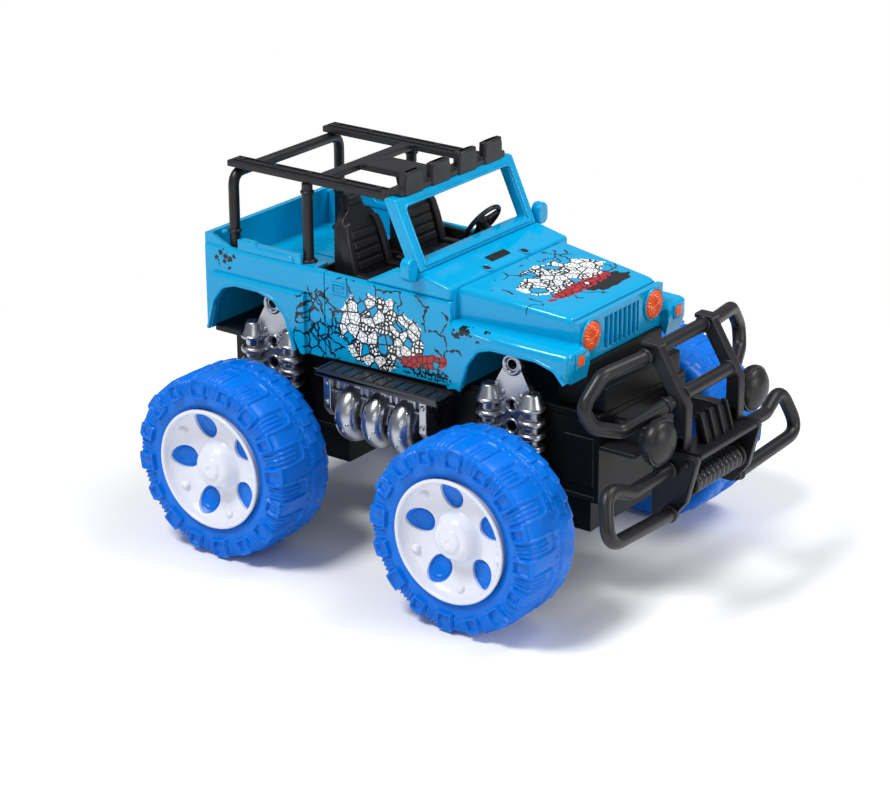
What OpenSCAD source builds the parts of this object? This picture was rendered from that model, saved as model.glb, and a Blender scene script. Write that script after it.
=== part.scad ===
// Toy monster truck: an open off-roader shell on a black friction chassis.
// +X forward, +Y left, +Z up. The origin is under the middle of the whole toy, on the ground.
// Heights are from the ground. The modules place lengths from the rear axle, and placed() moves
// them to the part's own frame.

/* [Wheels] */
// Distance between the two axles
wheelbase = 85; // [78:0.5:104]
// Outer radius of a tyre over its tread
tyre_r = 27.6; // [23:0.2:29]
// Width of a tyre
tyre_w = 22.8; // [17:0.2:28]
// Gap between the chassis sides and the inner face of a tyre
tyre_side_gap = 15.6; // [15:0.2:20]
// Radius of the white hub cap
rim_r = 18; // [15:0.2:20]
// How far the hub cap's lip stands proud of the tyre's side
rim_lip = 0.3; // [0.1:0.1:1]
// Depth of the hub cap's dish
rim_dish = 6; // [4:0.5:9]
// Radius of the hub cap's centre cone
hub_r = 7.5; // [5:0.5:9]
// Number of windows in a hub cap
rim_windows = 5; // [3:1:7]
// Radius of an axle pin
axle_r = 1.5; // [1:0.1:2.5]
// Running clearance between an axle pin and its bearing, on the radius
axle_clearance = 0.06; // [0.02:0.01:0.1]

/* [Chassis] */
// Width of the chassis tub
chassis_w = 44; // [38:0.5:53]
// Height of the chassis tub's floor above the axles
floor_rise = 3.4; // [3.4:0.1:6]
// Length of the chassis behind the rear axle
chassis_tail = 21; // [18:0.5:24]
// Length of the chassis ahead of the front axle
chassis_front = 23; // [20:0.5:30]
// Wall of the chassis tub
chassis_wall = 1.8; // [1.2:0.1:2.5]
// Depth of the axle boxes below the chassis floor
axle_box_drop = 11; // [8:0.5:13]
// Outer radius of an axle arm
arm_r = 3; // [2.2:0.1:3.2]
// Height of the black block under the nose above the deck
nose_block_h = 9; // [4:0.5:10]
// Radius of a screw well in the chassis floor
screw_r = 1.5; // [1:0.1:2]
// Screw wells' spacing along the chassis
screw_spacing_x = 44; // [36:1:50]
// Screw wells' spacing across the chassis
screw_spacing_y = 28; // [20:1:32]

/* [Body shell] */
// Width of the body at the doors
body_w = 58; // [52:0.5:70]
// How far the wheel flares stand out from the doors
flare = 1.5; // [0.5:0.1:3]
// Wall of the body shell
body_wall = 1.8; // [1.2:0.1:2.5]
// Height of the sills above the axles
sill_rise = 28.8; // [27.5:0.1:34]
// Height of the doors, from the sill to the belt line
door_h = 26.1; // [22:0.1:31]
// How far the tailgate and bed rim stand above the belt line
bed_rim = 3; // [1:0.5:5]
// Height of the raised panel on the load bed's floor
bed_panel = 0.6; // [0.4:0.1:1.2]
// Overhang of the body behind the rear axle
body_tail = 26.5; // [24:0.5:32]
// Length from the rear axle to the rear door seam
door_rear = 18.5; // [16:0.5:22]
// Length of a front fender behind the front axle
fender_run = 22; // [20:0.5:24]
// Height of the bonnet at its rear edge above the belt line
bonnet_rise = 3.7; // [2:0.1:6]
// Fall of the bonnet from its rear to its front edge
bonnet_fall = 3.2; // [1:0.1:5]
// Width of the bonnet at its front edge
bonnet_front_w = 42; // [36:0.5:46]
// Overhang of the grille ahead of the front axle
nose_len = 15.4; // [14:0.2:20]
// How far the fender fronts stand ahead of the grille
fender_lead = 2.8; // [0:0.2:4]
// Height of the wheel arches above the sills
arch_h = 15.9; // [13:0.1:17]

/* [Windscreen and roof] */
// Height of the windscreen frame's top above the belt line
screen_h = 25.3; // [21:0.1:30]
// Rake of the windscreen, in degrees from upright
screen_rake = 25; // [15:1:30]
// Width of the windscreen opening
screen_open_w = 49; // [40:0.5:51]
// Depth of the windscreen's frame bars
screen_bar = 4; // [3:0.2:5]
// Thickness of the roof rails
roof_t = 2; // [1.4:0.1:3]
// Width of a roof side rail
rail_w = 6; // [4:0.5:8]
// Radius of a roll cage post
post_r = 1.6; // [1.2:0.1:2.2]
// Width of a roof lamp pod
pod_w = 8.8; // [6:0.2:9.5]
// Height of a roof lamp pod above the front roof bar
pod_h = 4.6; // [3:0.2:6]

/* [Cabin] */
// Depth of the black cabin tray below the belt line
tray_depth = 5; // [3:0.5:8]
// Width of a seat back at its foot
seat_w = 18; // [14:0.5:20]
// Height of a seat back with its headrest
seat_h = 21; // [16:0.5:24]
// Outer radius of the steering wheel
steering_r = 7.2; // [5:0.1:9]

/* [Side units] */
// Width of a running board
board_w = 8.5; // [6:0.5:9]
// Length of a chrome side unit
unit_len = 36.5; // [30:0.5:38]
// Number of header pipes on a side unit
pipes = 3; // [2:1:4]
// Outer radius of a header pipe
pipe_r = 3.6; // [2.6:0.1:4]
// Outer radius of a suspension coil
coil_r = 3.7; // [3:0.1:4.4]
// Distance between the two coils at a wheel
coil_pitch = 13.9; // [11:0.1:15]

/* [Bumper] */
// Radius of the bumper's bars
bar_r = 2; // [1.5:0.1:2.4]
// Thickness of a bumper upright
upright_t = 3.2; // [2:0.1:4.5]
// Distance between the outer faces of the two uprights
upright_span = 30.6; // [26:0.2:37]
// Distance from the chassis front to the tips of the winch brackets
bumper_reach = 28.4; // [28:0.2:34]
// Radius of a fog lamp
fog_r = 6.7; // [5:0.1:8]
// Radius of the winch drum
winch_r = 3.6; // [3:0.1:4.8]

/* [Hidden] */

$fn = 48;

// Wheels
tyre_inner = chassis_w / 2 + tyre_side_gap;
tyre_outer = tyre_inner + tyre_w;
web_t = 3;
web_face = tyre_outer - rim_dish - 1.5;
cap_t = 1.6;
cap_seat = 0.8;

// Overall length, from the rear tyre to the winch bracket's tip
chassis_nose = wheelbase + chassis_front;
front_end = chassis_nose + bumper_reach;
frame_shift = (front_end - tyre_r) / 2;

// Heights above the ground
axle_z = tyre_r;
chassis_z = axle_z + floor_rise;
sill_z = axle_z + sill_rise;
belt_z = sill_z + door_h;
arch_z = sill_z + arch_h;
screen_top_z = belt_z + screen_h;

// Body
half_w = body_w / 2;
flare_w = half_w + flare;
inner_w = half_w - body_wall;
door_front = wheelbase - fender_run;
cowl_front = door_front;
nose_x = wheelbase + nose_len;
bonnet_z = belt_z + bonnet_rise;
bonnet_front_z = bonnet_z - bonnet_fall;
bonnet_front = nose_x - 1.8;
fender_x = nose_x + fender_lead;
nose_z = sill_z + 13.2;
firewall_t = 1.8;
deck_t = 2;
bonnet_rear_w = body_w - 7;
fender_z = belt_z - 5.5;
fender_front_z = fender_z - 1;
bed_z = arch_z + body_wall + 0.4;
bed_rim_z = belt_z + bed_rim;
bed_front = door_rear - 4;
ledge_x = 7.5;
panel_gap = 1.5;
ledge_in = half_w - 7;
ramp_rear = door_front - 30;
ramp_front = door_front - 17;
chassis_top = sill_z - 1.4;
deck_z = chassis_top;

// Windscreen: its plane passes through the sill of the opening
screen_sill_z = belt_z + 8.2;
screen_foot_z = belt_z + 6;
screen_foot = door_front - 10.5;
screen_lean = tan(screen_rake);
screen_top = screen_foot - (screen_top_z - screen_foot_z) * screen_lean;
screen_w = body_w - 1.5;

// Roof
screen_rear_top = screen_top - screen_bar;
roof_z = screen_top_z - roof_t;
rail_y = half_w - 4;
roof_rear = -20;
cross_x = 10;
centre_w = 11;
front_bar_t = 1.8;
pod_t = 2;
post_y = rail_y - 0.5;
rear_post = -18;
mid_post = 9.5;
pod_y = [-18.9, -6.4, 6.4, 18.9];

// Cabin
tray_z = belt_z - tray_depth;
seat_x = door_rear - 4;
seat_y = 13;

// Running gear
motor_len = 30;
motor_w = 28;
motor_top = chassis_z + 19;
box_wall = 1.6;
box_len = 36;

// Springs and side units
spring_y = chassis_w / 2 + 4.6;
spring_x = -3.2;
spring_top_z = sill_z + 4.6;
spring_seat_z = chassis_z + 4;
board_rear = door_rear + 3;
board_front = door_front + 1.5;
board_z = sill_z - 1.4;
board_t = 1.4;
unit_rear = door_rear + 4;
unit_top = board_z;
unit_in = chassis_w / 2;
unit_w = 13;

// Bumper
corner_swell = 0.15;
bracket_t = 1.6;
shelf_t = 1.5;
shelf_z = chassis_z + 19;
upright_y = upright_span / 2;
arm_in = upright_y - upright_t;
hoop_in = -3;

module placed() {
    translate([-frame_shift, 0, 0]) children();
}

// A side outline of [x, z] points, spread over the width from y0 to y1
module side_slab(points, y0, y1) {
    translate([0, y1, 0]) rotate([90, 0, 0]) linear_extrude(y1 - y0) polygon(points);
}

// A box from its low corner to its high corner
module block(low, high) {
    translate(low) cube(high - low);
}

// A round bar between two points
module bar(from, to, r) {
    run = to - from;
    length = norm(run);
    translate(from)
        rotate([0, acos(run[2] / length), atan2(run[1], run[0])])
            cylinder(h = length, r = r, $fn = 24);
}

// Round bars through a list of points, with a ball a little fatter than the bar at each corner
module bent_bar(points, r) {
    last = len(points) - 1;
    for (i = [0 : last - 1]) bar(points[i], points[i + 1], r);
    for (i = [1 : last - 1]) translate(points[i]) sphere(r = r + corner_swell, $fn = 32);
}

module mirrored(side) {
    if (side > 0) children();
    else mirror([0, 1, 0]) children();
}

// ---- Wheels ----

// A tyre with its inner web and hub, on the left side, with its axle along Y
module tyre_solid() {
    shoulder = 4.5;
    bead = rim_r - cap_t + 0.1;
    rotate([-90, 0, 0])
        rotate_extrude($fn = 96)
            union() {
                polygon([
                    [bead, tyre_inner + 3], [rim_r + 3, tyre_inner + 0.8], [tyre_r - shoulder, tyre_inner],
                    [tyre_r - 1, tyre_inner + 2], [tyre_r, tyre_inner + shoulder],
                    [tyre_r, tyre_outer - shoulder - 1], [tyre_r - 1.2, tyre_outer - 2.4],
                    [tyre_r - shoulder, tyre_outer - 0.5], [rim_r + 2.5, tyre_outer],
                    [rim_r, tyre_outer], [rim_r, web_face], [bead, web_face]
                ]);
                translate([axle_r, web_face - web_t]) square([bead - axle_r + 0.01, web_t]);
                translate([axle_r, tyre_inner + 0.4])
                    square([4.5, web_face - tyre_inner - web_t + 0.1]);
            }
}

// A white hub cap with windows, a centre cone and small studs
module hub_cap_solid() {
    lip = tyre_outer + rim_lip;
    floor_y = web_face + cap_seat;
    window_r = 3;
    window_reach = 2.4;
    difference() {
        rotate([-90, 0, 0])
            rotate_extrude($fn = 96)
                polygon([
                    [0, web_face], [rim_r - 0.05, web_face], [rim_r - 0.05, tyre_outer],
                    [rim_r + 1.2, tyre_outer], [rim_r + 1.2, lip], [rim_r - cap_t, lip],
                    [rim_r - cap_t - 0.6, floor_y + cap_t + 1], [rim_r - 5, floor_y + cap_t],
                    [hub_r, floor_y + cap_t], [hub_r - 2, lip - 4], [hub_r - 4.5, lip - 2.7],
                    [0, lip - 2.5]
                ]);
        for (i = [0 : rim_windows - 1])
            rotate([0, i * 360 / rim_windows, 0])
                translate([0, web_face - 0.5, hub_r + window_r + window_reach / 2])
                    rotate([-90, 0, 0])
                        linear_extrude(cap_t + 3)
                            union() {
                                translate([0, -window_reach / 2]) circle(r = window_r);
                                translate([0, window_reach / 2]) circle(r = window_r);
                                square([2 * window_r, window_reach], center = true);
                            }
    }
    for (i = [0 : rim_windows - 1])
        rotate([0, (i + 0.5) * 360 / rim_windows, 0])
            translate([0, floor_y + cap_t - 0.2, rim_r - 4])
                rotate([-90, 0, 0]) cylinder(h = 1.2, r = 1.1);
}

module wheel_place(x, side) {
    placed() translate([x, 0, axle_z]) mirrored(side) children();
}

module tyre(x, side) {
    color("royalblue") wheel_place(x, side) tyre_solid();
}

module hub_cap(x, side) {
    color("white") wheel_place(x, side) hub_cap_solid();
}

module axle(x) {
    color("silver") placed()
        translate([x, 0, axle_z])
            rotate([90, 0, 0])
                cylinder(h = 2 * web_face, r = axle_r, center = true);
}

module front_axle() { axle(wheelbase); }
module rear_axle() { axle(0); }
module front_left_tyre() { tyre(wheelbase, 1); }
module front_right_tyre() { tyre(wheelbase, -1); }
module rear_left_tyre() { tyre(0, 1); }
module rear_right_tyre() { tyre(0, -1); }
module front_left_hub_cap() { hub_cap(wheelbase, 1); }
module front_right_hub_cap() { hub_cap(wheelbase, -1); }
module rear_left_hub_cap() { hub_cap(0, 1); }
module rear_right_hub_cap() { hub_cap(0, -1); }

// ---- Chassis ----

// The black tub, open at the top, with screw wells through its floor
module chassis() {
    w = chassis_w / 2;
    tail = -chassis_tail;
    color("dimgray") placed()
        difference() {
            block([tail, -w, chassis_z], [chassis_nose, w, chassis_top]);
            block(
                [tail + chassis_wall, -w + chassis_wall, chassis_z + chassis_wall],
                [chassis_nose - chassis_wall, w - chassis_wall, chassis_top + 1]
            );
            for (x = [-1, 1], y = [-1, 1])
                translate([
                    wheelbase / 2 + x * screw_spacing_x / 2, y * screw_spacing_y / 2, chassis_z - 1
                ])
                    cylinder(h = chassis_wall + 2, r = screw_r);
            block(
                [-motor_len / 2 - 1, -motor_w / 2 - 1, chassis_z - 1],
                [motor_len / 2 + 1, motor_w / 2 + 1, chassis_z + chassis_wall + 1]
            );
        }
}

// The black plate that closes the tub and carries the body shell
module chassis_deck() {
    notch = coil_pitch / 2 + coil_r + 0.6;
    top = deck_z + deck_t;
    color("dimgray") placed() {
        difference() {
            block([-body_tail + body_wall, -inner_w, deck_z], [cowl_front + 2, inner_w, top]);
            for (side = [-1, 1])
                mirrored(side)
                    block(
                        [-notch + spring_x, chassis_w / 2, deck_z - 1],
                        [notch + spring_x, half_w, top + 1]
                    );
        }
        block([cowl_front + 1, -chassis_w / 2, deck_z], [chassis_nose, chassis_w / 2, top]);
    }
}

// The black block on the deck that fills the space under the bonnet's front, with a lower step ahead
module nose_block() {
    w = bonnet_front_w / 2 - 2;
    low = deck_z + deck_t;
    color("dimgray") placed() {
        block([wheelbase + 7, -w, low], [nose_x + 1.5, w, nose_z]);
        block([nose_x, -w, low], [chassis_nose, w, low + nose_block_h - deck_t]);
    }
}

// The friction motor with its flywheel, as one plain block round the rear axle
module friction_motor() {
    color("dimgray") placed()
        difference() {
            block(
                [-motor_len / 2, -motor_w / 2, chassis_z - axle_box_drop + box_wall],
                [motor_len / 2, motor_w / 2, motor_top]
            );
            translate([0, 0, axle_z])
                rotate([90, 0, 0])
                    cylinder(h = motor_w + 2, r = axle_r + 1, center = true);
        }
}

// A black box under the chassis floor that carries an axle, with a spring arm on each side
module axle_box(x) {
    w = chassis_w / 2 - 4;
    arm_end = tyre_inner - 1;
    arm_top = spring_seat_z;
    low = chassis_z - axle_box_drop;
    color("dimgray") placed()
        translate([x, 0, 0])
            difference() {
                union() {
                    block([-box_len / 2, -w, low], [box_len / 2, w, chassis_z]);
                    for (side = [-1, 1])
                        mirrored(side) {
                            translate([0, w, axle_z])
                                rotate([-90, 0, 0]) cylinder(h = arm_end - w, r = arm_r);
                            side_slab(
                                [
                                    [spring_x - 12, arm_top - 2], [spring_x + 12, arm_top - 2],
                                    [spring_x + 12, arm_top], [spring_x - 12, arm_top]
                                ],
                                chassis_w / 2, spring_y + coil_r
                            );
                            side_slab(
                                [[-4, axle_z], [4, axle_z], [7, arm_top - 2], [-7, arm_top - 2]],
                                chassis_w / 2, spring_y + coil_r - 1
                            );
                        }
                }
                block(
                    [-motor_len / 2 - 0.3, -motor_w / 2 - 0.3, low + box_wall],
                    [motor_len / 2 + 0.3, motor_w / 2 + 0.3, chassis_z + 1]
                );
                translate([0, 0, axle_z])
                    rotate([90, 0, 0])
                        cylinder(h = 3 * tyre_inner, r = axle_r + axle_clearance, center = true);
            }
}

module front_axle_box() { axle_box(wheelbase); }
module rear_axle_box() { axle_box(0); }

// ---- Suspension towers and side units ----

// One moulded coil-over: stacked rings on a core, with a conical cap
module coil_over() {
    turns = 6;
    wire_r = 1.3;
    cap_h = 5;
    core = coil_r - wire_r;
    coil_h = spring_top_z - spring_seat_z - cap_h;
    pitch = coil_h / turns;
    rotate_extrude()
        union() {
            square([core, coil_h + 1]);
            for (i = [0 : turns - 1])
                translate([core, (i + 0.5) * pitch]) circle(r = wire_r, $fn = 24);
            translate([0, coil_h])
                polygon([[0, 0], [coil_r, 0], [coil_r, 1], [coil_r - 2, cap_h], [0, cap_h]]);
        }
}

// A tower of two coil-overs joined by a web plate with an eye at its top
module spring_tower() {
    web_y = spring_y - 2.5;
    web_t = 2;
    eye_z = spring_top_z + 6.5;
    eye_r = 3.1;
    hole_r = 1.6;
    reach = coil_pitch / 2;
    hole_pitch = (spring_top_z - spring_seat_z) / 4;
    translate([0, spring_y, spring_seat_z])
        for (x = [-reach, reach]) translate([x, 0, 0]) coil_over();
    difference() {
        union() {
            side_slab([
                [-reach, spring_seat_z + 1], [reach, spring_seat_z + 1], [reach, spring_top_z - 1],
                [eye_r, eye_z], [-eye_r, eye_z], [-reach, spring_top_z - 1]
            ], web_y, web_y + web_t);
            translate([0, web_y, eye_z]) rotate([-90, 0, 0]) cylinder(h = web_t + 1.4, r = eye_r);
        }
        translate([0, web_y - 1, eye_z]) rotate([-90, 0, 0]) cylinder(h = web_t + 4, r = hole_r);
        for (i = [1 : 3])
            translate([0, web_y - 1, spring_seat_z + (i + 0.2) * hole_pitch])
                rotate([-90, 0, 0]) cylinder(h = web_t + 2, r = hole_r - 0.2);
    }
    block([-5, chassis_w / 2, spring_top_z - 8], [5, web_y, chassis_top]);
}

module springs(x, side) {
    color("silver") placed() translate([x + spring_x, 0, 0]) mirrored(side) spring_tower();
}

module front_left_springs() { springs(wheelbase, 1); }
module front_right_springs() { springs(wheelbase, -1); }
module rear_left_springs() { springs(0, 1); }
module rear_right_springs() { springs(0, -1); }

// A chrome block with end flanges and header pipes that leave its face and curl under it
module side_unit(side) {
    out = unit_in + unit_w;
    low = unit_top - 12.5;
    flange_t = 2.5;
    curl_r = pipe_r + 0.8;
    curl_y = out - 4.6;
    pitch = (unit_len - 2 * flange_t - 3) / pipes;
    color("silver") placed() mirrored(side) {
        block([unit_rear, unit_in, low], [unit_rear + unit_len, out - 3, unit_top]);
        for (x = [unit_rear, unit_rear + unit_len - flange_t])
            block([x, unit_in, low - 1.5], [x + flange_t, out, unit_top]);
        for (i = [0 : pipes - 1])
            translate([unit_rear + flange_t + 1.5 + (i + 0.5) * pitch, 0, low]) {
                translate([0, curl_y, 0])
                    rotate([0, 90, 0])
                        rotate([0, 0, -40])
                            rotate_extrude(angle = 130) translate([curl_r, 0]) circle(r = pipe_r, $fn = 32);
                translate([0, curl_y + curl_r, 0]) sphere(r = pipe_r + corner_swell, $fn = 32);
                bar([0, curl_y + curl_r, 0], [0, curl_y - 2, 8], pipe_r);
            }
    }
}

module left_side_unit() { side_unit(1); }
module right_side_unit() { side_unit(-1); }

// A ribbed running board under the doors
module running_board(side) {
    ribs = 9;
    y0 = inner_w;
    y1 = half_w + board_w;
    rib_pitch = (board_front - board_rear) / ribs;
    color("dimgray") placed() mirrored(side) {
        block([board_rear, y0, board_z], [board_front, y1, board_z + board_t - 0.5]);
        for (i = [0 : ribs - 1])
            block(
                [board_rear + (i + 0.15) * rib_pitch, half_w + 0.6, board_z],
                [board_rear + (i + 0.85) * rib_pitch, y1 - 0.6, board_z + board_t]
            );
    }
}

module left_running_board() { running_board(1); }
module right_running_board() { running_board(-1); }

// ---- Body shell ----

// A cut through both sides in the outline of a wheel arch, around the axle at x
module arch_cut(x, rear_run, front_run) {
    foot = sill_z - 6.4;
    translate([x, 2 * half_w, 0])
        rotate([90, 0, 0])
            linear_extrude(4 * half_w)
                polygon([
                    [-rear_run, foot], [-rear_run + 4, arch_z - 6.3], [-rear_run + 7.5, arch_z - 1.4],
                    [-rear_run + 12, arch_z], [front_run - 15, arch_z], [front_run - 9, arch_z - 1.6],
                    [front_run - 5, arch_z - 5.8], [front_run + 4, foot]
                ]);
}

module front_arch_cut() { arch_cut(wheelbase, 19.5, 22.5); }

// Rear quarters, tailgate and the floor of the load bed, with a rim and a ledge at each side
module load_bed() {
    tail = -body_tail;
    color("deepskyblue") placed() {
        difference() {
            union() {
                block([tail, -half_w, sill_z], [door_rear, half_w, belt_z]);
                block([-22.5, -flare_w, sill_z], [12, flare_w, arch_z + 2.4]);
                block([tail, -half_w + 0.8, belt_z - 1], [ledge_x + 2, half_w - 0.8, bed_rim_z]);
            }
            block([tail + body_wall, -inner_w, bed_z], [ledge_x, inner_w, bed_rim_z + 1]);
            block([ledge_x - 1, -ledge_in, bed_z], [bed_front, ledge_in, bed_rim_z + 1]);
            block([ledge_x - 1, -inner_w, bed_z], [bed_front, inner_w, belt_z - body_wall]);
            block([ledge_x - 1, -inner_w, belt_z], [door_rear + 1, inner_w, bed_rim_z + 1]);
            block([bed_front - 0.01, -inner_w, bed_z], [door_rear + 1, inner_w, bed_rim_z + 1]);
            block([tail + body_wall, -inner_w, sill_z - 1], [door_rear + 1, inner_w, bed_z - body_wall]);
            arch_cut(0, 26, 10);
            for (side = [-1, 1])
                mirrored(side)
                    side_slab([
                        [tail + 3, bed_rim_z + 1], [tail + 3, bed_rim_z - 0.2], [tail + 9.5, belt_z],
                        [-14, belt_z], [-14, bed_rim_z + 1]
                    ], half_w - 4, half_w + 1);
        }
        block(
            [rear_post + post_r + panel_gap, -inner_w + panel_gap, bed_z - 0.5],
            [ledge_x - panel_gap, inner_w - panel_gap, bed_z + bed_panel]
        );
    }
}

// A moulded door panel
module door(side) {
    color("deepskyblue") placed() mirrored(side)
        difference() {
            side_slab([
                [door_rear, sill_z], [door_front, sill_z + 1], [door_front, belt_z], [door_rear, belt_z]
            ], inner_w, half_w);
            front_arch_cut();
        }
}

module left_door() { door(1); }
module right_door() { door(-1); }

// The scuttle between the bonnet and the windscreen, with its side ramps
module cowl() {
    color("deepskyblue") placed() {
        difference() {
            side_slab([
                [ramp_front, belt_z], [cowl_front, belt_z], [cowl_front, bonnet_z],
                [screen_foot, screen_foot_z], [ramp_front, screen_foot_z]
            ], -half_w, half_w);
            side_slab([
                [ramp_front - 1, belt_z - 1], [cowl_front - body_wall, belt_z - 1],
                [cowl_front - body_wall, bonnet_z - body_wall],
                [screen_foot, screen_foot_z - body_wall], [ramp_front - 1, screen_foot_z - body_wall]
            ], -inner_w, inner_w);
            block(
                [ramp_front - 1, -inner_w, screen_foot_z - 2.5],
                [screen_foot - 4, inner_w, screen_foot_z + 1]
            );
        }
        for (side = [-1, 1])
            mirrored(side)
                side_slab([
                    [ramp_rear, belt_z], [ramp_front + 0.01, belt_z],
                    [ramp_front + 0.01, screen_foot_z], [ramp_front - 2, screen_foot_z]
                ], inner_w, half_w);
        block([cowl_front - body_wall, -inner_w, fender_z - 1], [cowl_front, inner_w, belt_z + 0.5]);
    }
}

// The raked windscreen frame
module windscreen_frame() {
    color("deepskyblue") placed()
        difference() {
            side_slab([
                [screen_foot - screen_bar, screen_foot_z], [screen_foot, screen_foot_z],
                [screen_top, screen_top_z], [screen_rear_top, screen_top_z]
            ], -screen_w / 2, screen_w / 2);
            side_slab([
                [screen_foot - 30, screen_sill_z], [screen_foot + 5, screen_sill_z],
                [screen_foot + 5, screen_top_z - 2.8], [screen_foot - 30, screen_top_z - 2.8]
            ], -screen_open_w / 2, screen_open_w / 2);
        }
}

module mirror_head(side) {
    x = screen_foot - 3;
    color("deepskyblue") placed() mirrored(side) {
        block([x, half_w, screen_foot_z - 3], [x + 2.5, half_w + 2.2, screen_foot_z - 0.5]);
        translate([x, half_w + 0.8, screen_foot_z + 1.5])
            intersection() {
                rotate([0, 90, 0]) cylinder(h = 2.5, r = 3.6);
                block([0, 0, -3.6], [2.5, 5, 3.6]);
            }
    }
}

module left_mirror() { mirror_head(1); }
module right_mirror() { mirror_head(-1); }

// The bonnet: a lid with side skirts that narrows to the nose
module bonnet_plan(rear_x, inset = 0) {
    rear_w = bonnet_rear_w / 2 - inset;
    front_w = bonnet_front_w / 2 - inset;
    translate([0, 0, 50])
        linear_extrude(60)
            polygon([
                [rear_x, -rear_w], [bonnet_front, -front_w], [bonnet_front, front_w], [rear_x, rear_w]
            ]);
}

module bonnet_block(inset) {
    intersection() {
        side_slab([
            [cowl_front, fender_z - 1], [bonnet_front, fender_z - 1],
            [bonnet_front, bonnet_front_z - inset - 1.2], [bonnet_front - 2, bonnet_front_z - inset],
            [cowl_front, bonnet_z - inset]
        ], -half_w, half_w);
        bonnet_plan(cowl_front, inset);
    }
}

module bonnet() {
    color("deepskyblue") placed()
        difference() {
            bonnet_block(0);
            translate([0, 0, -0.01]) bonnet_block(body_wall);
        }
}

// Both front fenders, the firewall and the nose panel with its grille slots
module front_fenders() {
    slots = 8;
    slot_pitch = 2.3;
    inner = bonnet_front_w / 2;
    outer = flare_w - body_wall;
    roof = fender_front_z - body_wall - 0.6;
    color("deepskyblue") placed()
        difference() {
            union() {
                for (side = [-1, 1])
                    mirrored(side)
                        side_slab([
                            [door_front, sill_z + 1], [fender_x - 1, sill_z + 10],
                            [fender_x, nose_z + 1], [fender_x, fender_front_z - 0.5],
                            [fender_x - 2, fender_front_z], [door_front, fender_z]
                        ], inner - 1, flare_w);
                block([bonnet_front, -inner, nose_z], [nose_x, inner, bonnet_front_z - 1.2]);
            }
            front_arch_cut();
            for (side = [-1, 1])
                mirrored(side) {
                    block([door_front + firewall_t, inner - 2, sill_z - 2], [bonnet_front, outer, roof]);
                    block([bonnet_front - 1, inner + 0.8, sill_z - 2], [fender_x - body_wall, outer, roof]);
                }
            for (i = [0 : slots - 1])
                translate([nose_x - 0.8, (i - (slots - 1) / 2) * slot_pitch, nose_z + 1.5])
                    block([0, -0.6, 0], [2, 0.6, 9]);
            bonnet_plan(cowl_front);
        }
    color("deepskyblue") placed()
        block(
            [door_front, -flare_w + body_wall, deck_z + deck_t],
            [door_front + firewall_t, flare_w - body_wall, fender_z - 1]
        );
}

module headlamps() {
    color("orangered") placed()
        for (side = [-1, 1])
            mirrored(side)
                translate([nose_x, 15.8, nose_z + 7.3])
                    rotate([0, 90, 0]) cylinder(h = 1, r = 4.3);
}

module turn_signals() {
    color("orangered") placed()
        for (side = [-1, 1])
            mirrored(side)
                block([fender_x, 23.2, nose_z + 1.9], [fender_x + 0.6, 26.2, nose_z + 4.9]);
}

// ---- Cabin ----

// The black tray that fills the cabin, with the dashboard and a wall down to the bed floor
module cabin_tray() {
    front = screen_foot - screen_bar - 0.5;
    dash = front - 8;
    wall = seat_x + 1 - bed_front;
    color("dimgray") placed() {
        difference() {
            block([bed_front, -inner_w, tray_z - 1.5], [front, inner_w, belt_z - 0.5]);
            block([bed_front + wall, -inner_w + 1.5, tray_z], [dash, inner_w - 1.5, belt_z]);
        }
        block([dash, -inner_w + 1, belt_z - 1], [front, inner_w - 1, belt_z + 3]);
        block([bed_front, -inner_w, bed_z], [bed_front + wall, inner_w, tray_z]);
    }
}

// A seat with a cushion, a raked back and a narrow headrest
module seat(side) {
    foot = belt_z - 2;
    top = foot + seat_h;
    color("dimgray") placed() mirrored(side) translate([seat_x, seat_y, 0]) {
        side_slab([
            [1, tray_z], [10.5, tray_z], [10.5, foot + 0.5], [4.4, top - 6], [1, top - 5.5]
        ], -seat_w / 2, seat_w / 2);
        side_slab([[0, top - 7], [4, top - 7], [2.6, top], [0, top]], -2.8, 2.8);
        block([10, -seat_w / 2, tray_z], [19, seat_w / 2, foot]);
    }
}

module left_seat() { seat(1); }
module right_seat() { seat(-1); }

module steering_wheel() {
    color("dimgray") placed()
        translate([door_front - 18.7, seat_y, belt_z + 8.1])
            rotate([0, -38, 0]) {
                rotate_extrude() translate([steering_r - 0.8, 0]) circle(r = 0.8, $fn = 24);
                cylinder(h = 1, r = 2);
                for (a = [0, 120, 240])
                    rotate([0, 0, a]) translate([1.5, -0.7, 0]) cube([steering_r - 2.4, 1.4, 0.8]);
                translate([0, 0, -5.6]) cylinder(h = 5.8, r = 1.1);
            }
}

// ---- Roll cage and roof ----

module roll_cage() {
    hoop_z = roof_z - post_r - corner_swell;
    corner = 2.5;
    color("dimgray") placed() {
        for (side = [-1, 1])
            mirrored(side)
                bar([mid_post, post_y, belt_z], [mid_post, post_y, roof_z], post_r);
        bent_bar([
            [rear_post, -post_y, bed_z], [rear_post, -post_y, hoop_z - corner],
            [rear_post, -post_y + corner, hoop_z], [rear_post, post_y - corner, hoop_z],
            [rear_post, post_y, hoop_z - corner], [rear_post, post_y, bed_z]
        ], post_r);
    }
}

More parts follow.
